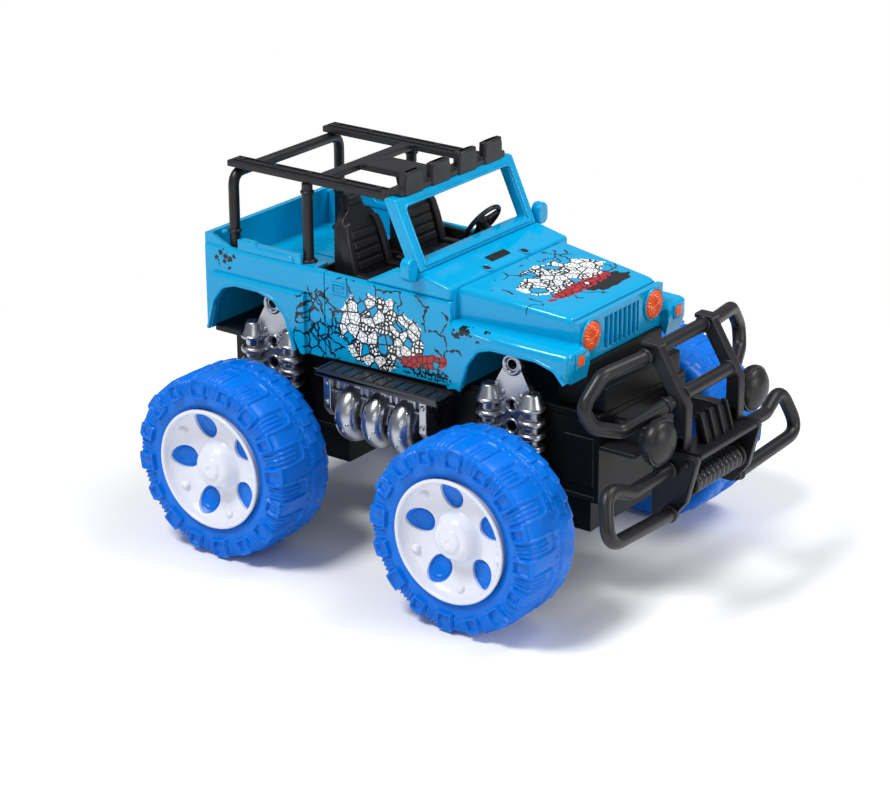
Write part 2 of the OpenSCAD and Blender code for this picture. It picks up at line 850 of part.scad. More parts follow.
// Flat side rails, a cross plate and a centre plate, with four lamp pods on the front bar
module roof_rack() {
    bar_front = screen_rear_top + screen_bar - 0.2;
    bar_rear = bar_front - 5;
    color("dimgray") placed() {
        for (side = [-1, 1])
            mirrored(side)
                block([roof_rear, rail_y - rail_w, roof_z], [screen_rear_top, rail_y, screen_top_z]);
        block([cross_x, -rail_y + 1, roof_z], [cross_x + 4, rail_y - 1, screen_top_z]);
        block([cross_x, -centre_w / 2, roof_z], [screen_rear_top, centre_w / 2, screen_top_z]);
        block([bar_rear, -rail_y, screen_top_z], [bar_front, rail_y, screen_top_z + front_bar_t]);
        for (y = pod_y)
            block(
                [bar_front - pod_t, y - pod_w / 2, screen_top_z + front_bar_t],
                [bar_front, y + pod_w / 2, screen_top_z + front_bar_t + pod_h]
            );
    }
}

// ---- Bumper ----

// Puts bumper pieces in place: x from the chassis front, z from the shelf
module bumper_placed() {
    placed() translate([chassis_nose, 0, shelf_z]) children();
}

// Two raked uprights on arms, joined by two bars and a shelf, with a winch bracket at each side
module bumper_frame() {
    plate_w = 14;
    ribs = 4;
    rib_pitch = (plate_w - 1.4) / (ribs - 1);
    color("dimgray") bumper_placed() {
        for (side = [-1, 1])
            mirrored(side) {
                side_slab([
                    [8.8, 28.3], [13.8, 28.3], [23.4, 12.8], [23.4, 0], [19, 0], [19, 12]
                ], arm_in, upright_y);
                side_slab([
                    [14, 0], [28.1, 0], [bumper_reach, -1.5], [25.2, -14], [20.5, -20], [14, -20]
                ], upright_y, upright_y + bracket_t);
                block([0, arm_in, -3], [23, upright_y, 4]);
                block([0, upright_y, -2.9], [11.6, upright_y + 6.7, -1.7]);
            }
        bar([11.2, -arm_in, 26], [11.2, arm_in, 26], bar_r);
        bar([19.9, -arm_in, 15], [19.9, arm_in, 15], bar_r);
        block([19, -upright_y, -shelf_t], [28.1, upright_y, 0]);
        side_slab([[22, -1], [24.7, -1], [22, 7], [20.6, 7]], -plate_w / 2, plate_w / 2);
        for (i = [0 : ribs - 1])
            translate([0, -plate_w / 2 + 0.7 + i * rib_pitch, 0])
                side_slab([[23, -1], [25.6, -1], [22.8, 7.6], [21, 7.6]], -0.7, 0.7);
    }
}

// The bent bars at one side of the bumper, cut flat where they meet the upright and the bracket
module bumper_hoops(side) {
    inside = upright_y + hoop_in;
    color("dimgray") bumper_placed() mirrored(side)
        difference() {
            union() {
                bent_bar([
                    [10.9, inside, 25], [7.7, upright_y + 17.9, 24], [6.2, upright_y + 25, 16.6],
                    [8.2, upright_y + 22.5, 10.8], [11.5, upright_y + 14, 7.8], [19.2, inside, 14]
                ], bar_r);
                bent_bar([
                    [20, inside, -5], [19, upright_y + 19.7, -6], [17.5, upright_y + 30.2, -2],
                    [21.6, upright_y + 35, -15.6], [20.5, inside, -18]
                ], bar_r);
            }
            block([0, inside - 5, -40], [40, upright_y + bracket_t, 0]);
            block([0, inside - 5, -1], [40, upright_y, 40]);
        }
}

module left_bumper_hoops() { bumper_hoops(1); }
module right_bumper_hoops() { bumper_hoops(-1); }

// A round lamp with a domed cover, on the lower leg of the upper hoop
module fog_lamp(side) {
    rim_t = 3.5;
    dome_r = 9;
    dome_h = 3;
    boss_h = 2.4;
    color("dimgray") bumper_placed() mirrored(side)
        translate([18, upright_y + 2.4 + fog_r, 5.3])
            rotate([0, 90, 0]) {
                cylinder(h = rim_t, r = fog_r);
                translate([0, 0, -boss_h]) cylinder(h = boss_h, r1 = 2.4, r2 = 4.4);
                translate([0, 0, rim_t])
                    intersection() {
                        translate([0, 0, dome_h - dome_r]) sphere(r = dome_r);
                        cylinder(h = dome_h + 1, r = fog_r);
                    }
            }
}

module left_fog_lamp() { fog_lamp(1); }
module right_fog_lamp() { fog_lamp(-1); }

// The winch drum with its wound rope, between the two brackets
module winch_drum() {
    turns = 9;
    rope_r = 1.2;
    rope_pitch = 2.4;
    first = upright_y - (turns - 1) / 2 * rope_pitch;
    color("gray") bumper_placed()
        translate([22.5, -upright_y, -10.2])
            rotate([-90, 0, 0])
                rotate_extrude()
                    union() {
                        square([winch_r - rope_r, 2 * upright_y]);
                        for (i = [0 : turns - 1])
                            translate([winch_r - rope_r - 0.05, first + i * rope_pitch])
                                circle(r = rope_r, $fn = 24);
                    }
}

chassis();
chassis_deck();
nose_block();
friction_motor();
front_axle_box();
rear_axle_box();
front_axle();
rear_axle();
front_left_tyre();
front_right_tyre();
rear_left_tyre();
rear_right_tyre();
front_left_hub_cap();
front_right_hub_cap();
rear_left_hub_cap();
rear_right_hub_cap();
front_left_springs();
front_right_springs();
rear_left_springs();
rear_right_springs();
left_side_unit();
right_side_unit();
left_running_board();
right_running_board();
load_bed();
left_door();
right_door();
cowl();
windscreen_frame();
left_mirror();
right_mirror();
bonnet();
front_fenders();
headlamps();
turn_signals();
cabin_tray();
left_seat();
right_seat();
steering_wheel();
roll_cage();
roof_rack();
bumper_frame();
left_bumper_hoops();
right_bumper_hoops();
left_fog_lamp();
right_fog_lamp();
winch_drum();
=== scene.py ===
"""Looks of a friction-driven toy off-roader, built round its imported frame.

Sizes in the classes are in millimetres: x forward from the rear axle, y to the toy's left and
z up from the ground. A Shape turns them into metres in the frame's own coordinates.
"""

import logging
from dataclasses import dataclass, field, replace
from enum import Enum
from math import acos, cos, hypot, pi, radians, sin, sqrt, tan
from typing import Any, Iterable, Sequence

import bmesh
import bpy
import numpy as np
from mathutils import Matrix, Vector


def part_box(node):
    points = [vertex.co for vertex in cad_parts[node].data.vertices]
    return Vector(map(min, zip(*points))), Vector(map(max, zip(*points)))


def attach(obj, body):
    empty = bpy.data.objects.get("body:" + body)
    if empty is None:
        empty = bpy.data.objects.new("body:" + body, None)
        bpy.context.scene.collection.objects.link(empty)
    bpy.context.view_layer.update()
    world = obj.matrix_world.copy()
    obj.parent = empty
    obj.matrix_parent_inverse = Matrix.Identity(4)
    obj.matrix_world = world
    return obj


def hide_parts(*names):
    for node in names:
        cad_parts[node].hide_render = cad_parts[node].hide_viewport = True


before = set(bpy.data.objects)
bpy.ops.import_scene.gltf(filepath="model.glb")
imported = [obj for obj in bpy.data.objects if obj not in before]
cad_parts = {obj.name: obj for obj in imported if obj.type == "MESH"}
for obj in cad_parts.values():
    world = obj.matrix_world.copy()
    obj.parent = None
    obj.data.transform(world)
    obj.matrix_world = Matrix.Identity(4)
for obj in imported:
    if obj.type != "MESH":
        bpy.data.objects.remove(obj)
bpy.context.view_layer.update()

LOG = logging.getLogger("toy")
MM = 0.001
Point = Sequence[float]
Socket, Tree, Mesh, Object = bpy.types.NodeSocket, bpy.types.NodeTree, bpy.types.Mesh, bpy.types.Object
Flat = tuple[Any, Any]
Zone = tuple[Point, Point, Point]
AHEAD, OUT, UP = (1, 0, 0), (0, 1, 0), (0, 0, 1)
SIDES = (("left", 1), ("right", -1))


def centre_of(node: str) -> Vector:
    """Returns the middle of a CAD node's box, in millimetres of the frame."""
    low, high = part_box(node)
    return (low + high) / 2 / MM


REAR_AXLE = centre_of("rear_axle")
FRONT_AXLE = centre_of("front_axle")
WHEELBASE = FRONT_AXLE.x - REAR_AXLE.x
AXLE_Z = REAR_AXLE.z
ENDS = (("rear", 0.0), ("front", WHEELBASE))


def local(node: str) -> tuple[Vector, Vector]:
    """Returns a CAD node's lowest and highest corner, in millimetres from the rear axle.

    Args:
        node: The node's name.

    Returns:
        The two corners.
    """
    low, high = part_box(node)
    shift = Vector((REAR_AXLE.x, 0, 0))
    return low / MM - shift, high / MM - shift


class Body(Enum):
    """The bodies of the toy that move on their own."""

    TRUCK = "truck"
    FRONT = "front_wheels"
    REAR = "rear_wheels"


class Slot(Enum):
    """The material slots."""

    BLACK = "black"
    STEEL = "steel"
    TYRE = "tyre"
    WHITE = "white"
    CHROME = "chrome"
    GUNMETAL = "gunmetal"
    BLUE = "blue"
    ORANGE = "orange"


# ---------------------------------------------------------------- materials


def linear(code: str) -> tuple[float, float, float, float]:
    """Turns an sRGB hex colour into linear light.

    Args:
        code: Six hex digits.

    Returns:
        Red, green, blue and an alpha of 1.
    """
    parts = [int(code[i : i + 2], 16) / 255 for i in (0, 2, 4)]
    light = [c / 12.92 if c <= 0.04045 else ((c + 0.055) / 1.055) ** 2.4 for c in parts]
    return (*light, 1.0)


def add_node(tree: Tree, kind: str, inputs: dict | None = None, **settings: Any) -> Any:
    """Adds a node, with its settings, its values and its links.

    Args:
        tree: The node tree.
        kind: The node's type name.
        inputs: For each input, by name or number, a value or the socket that feeds it.
        settings: The node's own properties.

    Returns:
        The node.
    """
    node = tree.nodes.new(kind)
    for name, value in settings.items():
        setattr(node, name, value)
    for key, value in (inputs or {}).items():
        if isinstance(value, Socket):
            tree.links.new(value, node.inputs[key])
        else:
            node.inputs[key].default_value = value
    return node


def noise_over(tree: Tree, place: Socket, lump_mm: float, detail: float) -> Socket:
    """Returns soft noise with lumps of a size and a number of finer layers."""
    inputs = {"Vector": place, "Scale": 1 / lump_mm, "Detail": detail}
    return add_node(tree, "ShaderNodeTexNoise", inputs).outputs["Fac"]


@dataclass(frozen=True)
class Finish:
    """A moulded plastic surface: one colour, a fine mould grain and a slight unevenness of gloss."""

    name: str
    colour: str
    roughness: float = 0.4
    metallic: float = 0.0
    ior: float = 1.5
    coat: float = 0.0
    grain_mm: float = 0.5
    grain_depth_mm: float = 0.01
    uneven_mm: float = 14.0
    uneven: float = 0.06
    shade: float = 0.1

    def colour_socket(self, tree: Tree, place: Socket) -> Socket:
        """Returns the socket that colours the surface, a little uneven as moulded plastic is.

        Args:
            tree: The material's tree.
            place: Object coordinates in millimetres.

        Returns:
            The colour's socket.
        """
        cloud = noise_over(tree, place, self.uneven_mm, 2.0)
        light = linear(self.colour)
        dark = (*(c * (1 - self.shade) for c in light[:3]), 1.0)
        inputs = {"Factor": cloud, 6: light, 7: dark}
        return add_node(tree, "ShaderNodeMix", inputs, data_type="RGBA").outputs[2]

    def bump_socket(self, tree: Tree, place: Socket) -> Socket:
        """Returns the normal of the mould's fine grain.

        Args:
            tree: The material's tree.
            place: Object coordinates in millimetres.

        Returns:
            The normal's socket.
        """
        grain = noise_over(tree, place, self.grain_mm, 3.0)
        inputs = {"Height": grain, "Strength": 1.0, "Distance": self.grain_depth_mm * MM}
        return add_node(tree, "ShaderNodeBump", inputs).outputs["Normal"]

    def build(self) -> bpy.types.Material:
        """Builds the material once and returns it.

        Returns:
            The material.
        """
        known = bpy.data.materials.get(self.name)
        if known:
            return known
        material = bpy.data.materials.new(self.name)
        material.use_nodes = True
        material.diffuse_color = linear(self.colour)
        tree = material.node_tree
        tree.nodes.clear()
        where = add_node(tree, "ShaderNodeTexCoord").outputs["Object"]
        scaled = add_node(tree, "ShaderNodeVectorMath", {0: where, "Scale": 1 / MM}, operation="SCALE")
        place = scaled.outputs["Vector"]
        gloss = add_node(tree, "ShaderNodeMapRange", {
            "Value": noise_over(tree, place, self.uneven_mm / 1.7, 4.0),
            "From Min": 0.3,
            "From Max": 0.7,
            "To Min": max(0.02, self.roughness - self.uneven),
            "To Max": self.roughness + self.uneven,
        })
        shader = add_node(tree, "ShaderNodeBsdfPrincipled", {
            "Base Color": self.colour_socket(tree, place),
            "Roughness": gloss.outputs["Result"],
            "Metallic": self.metallic,
            "IOR": self.ior,
            "Coat Weight": self.coat,
            "Coat Roughness": 0.06,
            "Normal": self.bump_socket(tree, place),
        })
        add_node(tree, "ShaderNodeOutputMaterial", {"Surface": shader.outputs["BSDF"]})
        return material


@dataclass(frozen=True)
class PrintedShell(Finish):
    """Glossy ABS with a pad print of cracks, shards and splatters on its doors and bonnet."""

    print_black: str = "15181B"
    print_white: str = "F2F5F6"
    print_red: str = "B3202C"

    def colour_socket(self, tree: Tree, place: Socket) -> Socket:
        """Returns the shell's colour with the print over it.

        Args:
            tree: The material's tree.
            place: Object coordinates in millimetres.

        Returns:
            The colour's socket.
        """
        base = super().colour_socket(tree, place)
        art = PrintedArt(tree, place, self)
        return art.bonnet(art.side(base))


class PrintedArt:
    """Draws the pad print in object coordinates, flat on the sides and flat on the bonnet.

    A flat place is a pair of sockets in millimetres, and a mask is a socket that is 1 where ink lies.
    """

    def __init__(self, tree: Tree, place: Socket, finish: PrintedShell) -> None:
        """Keeps the tree, the coordinates and the print's colours.

        Args:
            tree: The material's tree.
            place: Object coordinates in millimetres.
            finish: The shell's finish.
        """
        self.tree = tree
        self.finish = finish
        self.x, self.y, self.z = add_node(tree, "ShaderNodeSeparateXYZ", {0: place}).outputs
        self.x = self.math("SUBTRACT", self.x, REAR_AXLE.x)

    def math(self, operation: str, *values: Any) -> Socket:
        """Returns the result of a Math node on sockets or numbers."""
        inputs = dict(enumerate(values))
        return add_node(self.tree, "ShaderNodeMath", inputs, operation=operation).outputs[0]

    def times(self, first: Any, second: Any) -> Socket:
        """Returns the product of two sockets or numbers, which is where two masks meet."""
        return self.math("MULTIPLY", first, second)

    def below(self, value: Any, limit: Any) -> Socket:
        """Returns a mask of where a value is below a limit."""
        return self.math("LESS_THAN", value, limit)

    def above(self, value: Any, limit: Any) -> Socket:
        """Returns a mask of where a value is above a limit."""
        return self.math("GREATER_THAN", value, limit)

    def plane(self, flat: Flat) -> Socket:
        """Returns a flat place as one vector."""
        return add_node(self.tree, "ShaderNodeCombineXYZ", {0: flat[0], 1: flat[1]}).outputs[0]

    def noise(self, flat: Flat, lump_mm: float, detail: float) -> Any:
        """Returns the outputs of noise with lumps of a size."""
        inputs = {"Vector": self.plane(flat), "Scale": 1 / lump_mm, "Detail": detail}
        return add_node(self.tree, "ShaderNodeTexNoise", inputs).outputs

    def cells(self, flat: Flat, size_mm: float, feature: str) -> Any:
        """Returns the outputs of a Voronoi pattern with cells of a size.

        Args:
            flat: The flat place.
            size_mm: The cells' size.
            feature: Blender's word for what is measured.

        Returns:
            The node's outputs.
        """
        inputs = {"Vector": self.plane(flat), "Scale": 1 / size_mm}
        kind = "ShaderNodeTexVoronoi"
        return add_node(self.tree, kind, inputs, feature=feature, voronoi_dimensions="2D").outputs

    def joints(self, flat: Flat, size_mm: float) -> Socket:
        """Returns the distance to the nearest joint between cells of a size."""
        return self.cells(flat, size_mm, "DISTANCE_TO_EDGE")["Distance"]

    def channel(self, colour: Socket, index: int) -> Socket:
        """Returns one channel of a colour."""
        return add_node(self.tree, "ShaderNodeSeparateColor", {0: colour}).outputs[index]

    def blend(self, share: Any, under: Any, upper: Any) -> Socket:
        """Returns a colour mixed from two."""
        inputs = {"Factor": share, 6: under, 7: upper}
        return add_node(self.tree, "ShaderNodeMix", inputs, data_type="RGBA").outputs[2]

    def over(self, base: Any, code: str, mask: Any) -> Socket:
        """Returns a colour with an ink's hex colour over it where a mask is 1."""
        return self.blend(mask, base, linear(code))

    def blot(self, flat: Flat, at: Point, size: Point, ragged: float, lump_mm: float) -> Socket:
        """Returns the mask of a ragged oval.

        Args:
            flat: The flat place.
            at: The oval's middle.
            size: Its two half lengths.
            ragged: How far its edge wanders, as a share of its size.
            lump_mm: The length of the edge's waves.

        Returns:
            The mask.
        """
        off = [self.math("DIVIDE", self.math("SUBTRACT", flat[i], at[i]), size[i]) for i in (0, 1)]
        reach = self.math("SQRT", self.math("ADD", *[self.math("POWER", part, 2.0) for part in off]))
        wave = self.noise(flat, lump_mm, 3.0)["Fac"]
        edge = self.math("ADD", reach, self.times(self.math("SUBTRACT", wave, 0.5), ragged * 4))
        return self.below(edge, 1.0)

    def warped(self, flat: Flat, lump_mm: float, reach_mm: float) -> Flat:
        """Pushes a flat place about by noise.

        Args:
            flat: The flat place.
            lump_mm: The size of the noise.
            reach_mm: How far it pushes.

        Returns:
            The pushed place.
        """
        noise = self.noise(flat, lump_mm, 4.0)["Color"]
        parts = add_node(self.tree, "ShaderNodeSeparateColor", {0: noise}).outputs
        pushes = [self.times(self.math("SUBTRACT", parts[i], 0.5), reach_mm * 2) for i in (0, 1)]
        return self.math("ADD", flat[0], pushes[0]), self.math("ADD", flat[1], pushes[1])

    def cracks(self, flat: Flat, cell_mm: float, line_mm: float, share: float) -> Socket:
        """Returns the mask of thin branching lines.

        Args:
            flat: The flat place.
            cell_mm: The distance between the lines.
            line_mm: A line's width.
            share: The share of the area that has lines.

        Returns:
            The mask.
        """
        edge = self.joints(self.warped(flat, cell_mm * 0.45, cell_mm * 0.3), cell_mm)
        thin = self.below(self.times(edge, cell_mm), line_mm)
        patch = self.noise(flat, cell_mm * 1.3, 1.0)["Fac"]
        return self.times(thin, self.below(patch, share))

    def drops(self, flat: Flat, cell_mm: float, drop: float) -> Socket:
        """Returns the mask of splattered drops of uneven size.

        Args:
            flat: The flat place.
            cell_mm: The distance between drops.
            drop: A drop's radius, as a share of that distance.

        Returns:
            The mask.
        """
        cell = self.cells(self.warped(flat, 0.8, 0.25), cell_mm, "F1")
        size = self.channel(cell["Color"], 0)
        return self.below(cell["Distance"], self.times(size, drop * 1.6))

    def shards(self, base: Any, flat: Flat, mask: Any, cell_mm: float) -> Socket:
        """Paints broken white and black stone shards with black joints inside a mask.

        Args:
            base: The colour under them.
            flat: The flat place.
            mask: Where the shards lie.
            cell_mm: A shard's size.

        Returns:
            The new colour.
        """
        ink, paper = self.finish.print_black, self.finish.print_white
        chip_mm = cell_mm * 0.42
        pushed = self.warped(flat, 2.5, 0.5)
        pick = self.channel(self.cells(pushed, cell_mm, "F1")["Color"], 0)
        fine = self.joints(pushed, chip_mm)
        edge = self.joints(pushed, cell_mm)
        white = self.times(mask, self.below(pick, 0.52))
        black = self.times(mask, self.above(pick, 0.74))
        joint = self.below(self.times(edge, cell_mm), 0.22)
        hatch = self.below(self.times(fine, chip_mm), 0.09)
        colour = self.over(self.over(base, paper, white), ink, black)
        flake = self.times(black, self.above(self.times(fine, cell_mm), 0.62))
        colour = self.over(colour, paper, flake)
        lines = self.math("MAXIMUM", joint, self.times(hatch, white))
        return self.over(colour, ink, self.times(mask, lines))

    def flakes(self, base: Any, flat: Flat, low: Point, high: Point, rise: float, pitch: float) -> Socket:
        """Paints a slanting band of broken red flakes with dark joints.

        Args:
            base: The colour under it.
            flat: The flat place.
            low: The band's low corner.
            high: Its high corner.
            rise: How much the band climbs along it.
            pitch: A flake's size.

        Returns:
            The new colour.
        """
        climb = self.times(self.math("SUBTRACT", flat[0], low[0]), rise)
        row = (flat[0], self.math("SUBTRACT", flat[1], climb))
        middle = [(low[i] + high[i]) / 2 for i in (0, 1)]
        half = [(high[i] - low[i]) / 2 for i in (0, 1)]
        band = self.blot(row, middle, half, 0.22, 2.4)
        pushed = self.warped(row, 1.6, 0.4)
        pick = self.channel(self.cells(pushed, pitch, "F1")["Color"], 1)
        joint = self.below(self.times(self.joints(pushed, pitch), pitch), 0.2)
        flake = self.times(band, self.below(pick, 0.78))
        colour = self.over(base, self.finish.print_red, flake)
        return self.over(colour, self.finish.print_black, self.times(band, joint))

    def inked(self, base: Any, zone: Any, flat: Flat, oval: Sequence[Any], pattern: Any) -> Socket:
        """Paints black ink where a panel's zone, a ragged oval and a pattern meet."""
        mask = self.times(self.blot(flat, *oval), pattern)
        return self.over(base, self.finish.print_black, self.times(zone, mask))

    def side(self, base: Any) -> Socket:
        """Returns a colour with the print over it on both sides of the body.

        Args:
            base: The colour under it.

        Returns:
            The new colour.
        """
        flat = (self.x, self.z)
        zone = self.above(self.math("ABSOLUTE", self.y), 28.6)
        zone = self.times(zone, self.below(self.z, 82.0))
        colour = base
        cracked = (
            (((39.0, 69.0), (30.0, 15.0), 0.25, 7.0), (7.5, 0.28, 0.55)),
            (((17.0, 66.0), (9.0, 10.0), 0.3, 4.0), (4.2, 0.34, 0.62)),
        )
        for oval, lines in cracked:
            colour = self.inked(colour, zone, flat, oval, self.cracks(flat, *lines))
        heart = self.blot(flat, (37.5, 68.2), (15.5, 10.8), 0.16, 5.0)
        colour = self.shards(colour, flat, self.times(zone, heart), 3.1)
        low = ((55.0, 60.0), (9.5, 1.9), 0.3, 2.2)
        colour = self.inked(colour, zone, flat, low, self.cracks(flat, 1.5, 0.28, 0.6))
        splattered = (
            (((70.0, 76.5), (6.5, 3.6), 0.3, 4.0), (1.9, 0.42)),
            (((-18.0, 79.0), (4.5, 3.0), 0.3, 4.0), (1.8, 0.34)),
        )
        for oval, size in splattered:
            colour = self.inked(colour, zone, flat, oval, self.drops(flat, *size))
        near = self.below(self.math("ABSOLUTE", self.math("SUBTRACT", self.x, 55.0)), 14.0)
        chips = self.flakes(colour, flat, (45.0, 59.0), (63.0, 63.2), 0.2, 1.9)
        return self.blend(self.times(zone, near), colour, chips)

    def bonnet(self, base: Any) -> Socket:
        """Returns a colour with the print over it on the bonnet's top.

        Args:
            base: The colour under it.

        Returns:
            The new colour.
        """
        flat = (self.y, self.x)
        zone = self.times(self.above(self.z, 81.4), self.below(self.math("ABSOLUTE", self.y), 24.0))
        zone = self.times(zone, self.above(self.x, 63.4))
        ring = ((0.0, 79.0), (25.0, 15.0), 0.2, 7.0)
        colour = self.inked(base, zone, flat, ring, self.cracks(flat, 7.0, 0.26, 0.5))
        heart = self.blot(flat, (2.5, 79.0), (17.0, 9.0), 0.2, 6.0)
        colour = self.shards(colour, flat, self.times(zone, heart), 3.4)
        dark = self.blot(flat, (9.0, 90.0), (10.0, 3.4), 0.3, 4.0)
        colour = self.over(colour, self.finish.print_black, self.times(zone, dark))
        near = self.below(self.math("ABSOLUTE", self.y), 16.0)
        chips = self.flakes(colour, flat, (-15.0, 84.6), (15.0, 89.2), 0.0, 2.2)
        return self.blend(self.times(zone, near), colour, chips)


# Injection-moulded ABS, polished mould: bright and glossy, with soft highlights
SHELL = PrintedShell("shell_gloss_abs", "009DD0", 0.13, ior=1.36, coat=0.1, grain_mm=3.0,
    grain_depth_mm=0.02)
# The same ABS with nothing printed on it, for small parts that show plain sky blue
SHELL_PLAIN = Finish("shell_plain_abs", "009DD0", 0.13, ior=1.36, coat=0.1, grain_mm=3.0,
    grain_depth_mm=0.02)
# Blow-moulded soft PVC: a deep, saturated blue with a broad, slightly waxy shine
TYRE_PVC = Finish("tyre_soft_pvc", "006DD6", 0.3, ior=1.3, grain_mm=1.2, grain_depth_mm=0.015, shade=0.12)
# Injection-moulded white ABS: clean and cool, with a wide soft highlight on each rim
HUB_ABS = Finish("hub_white_abs", "DADDE8", 0.26, ior=1.45, grain_mm=2.5, grain_depth_mm=0.01, shade=0.04)
# Spark-eroded mould surface on black polypropylene: satin, with a fine even grain
TRIM_PP = Finish("trim_black_pp", "1A1A1D", 0.38, ior=1.42, grain_mm=0.35, grain_depth_mm=0.03, uneven=0.05,
    shade=0.2)
# Black ABS of the chassis: darker and flatter than the trim, so that the tub stays quiet
CHASSIS_ABS = Finish("chassis_black_abs", "0D0E10", 0.42, ior=1.3, grain_mm=0.8, grain_depth_mm=0.01,
    uneven=0.02, shade=0.1)
# Vacuum metallising over ABS under a clear lacquer: bright silver with soft, slightly spread highlights
CHROME = Finish("vacuum_chrome_abs", "B4B7BE", 0.3, metallic=1.0, grain_mm=1.6, grain_depth_mm=0.03,
    uneven=0.07, shade=0.25)
# Metallic paint over ABS on the running boards: dark grey with a light edge along each slat
GUNMETAL = Finish("board_metallic_paint", "3E4147", 0.26, metallic=0.6, grain_mm=0.25, grain_depth_mm=0.012)
# Cold-drawn steel of the pins and screws: a sharp cool glint
STEEL = Finish("axle_drawn_steel", "B9BCC2", 0.28, metallic=1.0, grain_mm=0.3, grain_depth_mm=0.004)
# Cast zinc of the motor's housing: dull grey, with no clear reflections
MOTOR_ZINC = Finish("motor_cast_zinc", "83868B", 0.5, metallic=0.8, grain_mm=0.4, grain_depth_mm=0.02)
# Orange paint on the lamps: warm, with a bright point on each facet under a thin clear coat
LAMP_PAINT = Finish("lamp_orange_paint", "EE5A12", 0.3, ior=1.5, coat=0.3, grain_mm=0.4,
    grain_depth_mm=0.01)
# Painted shade: matt near-black laid inside slots and vents to stand in for the shade in their depth, with
# nothing to catch the light
SLOT_SHADE_PAINT = Finish("slot_painted_shade", "101215", 0.7, grain_mm=0.4, grain_depth_mm=0.01)
# The winch's moulded rope: black PP, polished on its ridges so that each turn catches a line of light
ROPE_GREY = Finish("winch_moulded_rope", "222326", 0.22, metallic=0.0, grain_mm=0.3, grain_depth_mm=0.02)

# ---------------------------------------------------------------- shapes


def turn_to(axis: Point) -> np.ndarray:
    """Returns the matrix that turns the z axis to another direction."""
    return np.array(Vector(axis).to_track_quat("Z", "Y").to_matrix())


def filleted(points: Sequence[Point], radius: float, steps: int = 6) -> list[np.ndarray]:
    """Rounds the corners of a path.

    Args:
        points: The path's corners.
        radius: The bend's radius, shortened where a leg is short.
        steps: The number of pieces of each bend.

    Returns:
        The points of the rounded path.
    """
    path = [np.array(p, float) for p in points]
    out = [path[0]]
    for before, corner, after in zip(path, path[1:], path[2:]):
        back, ahead = before - corner, after - corner
        len_back, len_ahead = np.linalg.norm(back), np.linalg.norm(ahead)
        back, ahead = back / len_back, ahead / len_ahead
        half = acos(float(np.clip(back @ ahead, -1, 1))) / 2
        cut = min(radius / tan(half), len_back * 0.48, len_ahead * 0.48)
        start, end = corner + back * cut, corner + ahead * cut
        for i in range(steps + 1):
            t = i / steps
            out.append((1 - t) ** 2 * start + 2 * t * (1 - t) * corner + t**2 * end)
    out.append(path[-1])
    return out


def smooth_path(points: Sequence[Point], steps: int = 8) -> np.ndarray:
    """Draws a smooth curve through points.

    Args:
        points: The points.
        steps: The number of pieces between two of them.

    Returns:
        The curve's points.
    """
    p = np.array(points, float)
    p = np.vstack([2 * p[0] - p[1], p, 2 * p[-1] - p[-2]])
    out = []
    for a, b, c, d in zip(p, p[1:], p[2:], p[3:]):
        for i in range(steps):
            t = i / steps
            out.append(0.5 * (2 * b + (c - a) * t + (2 * a - 5 * b + 4 * c - d) * t**2 + (
                3 * b - a - 3 * c + d) * t**3))
    out.append(p[-2])
    return np.array(out)


def skin(rings: int, sides: int) -> list[list[int]]:
    """Returns the faces between rings of corners, and a cap at each end.

    Args:
        rings: The number of rings.
        sides: The number of corners of each one.

    Returns:
        The faces.
    """
    faces = [[k * sides + i, k * sides + (i + 1) % sides, (k + 1) * sides + (i + 1) % sides,
        (k + 1) * sides + i] for k in range(rings - 1) for i in range(sides)]
    last = (rings - 1) * sides
    return faces + [list(range(sides))[::-1], [last + i for i in range(sides)]]


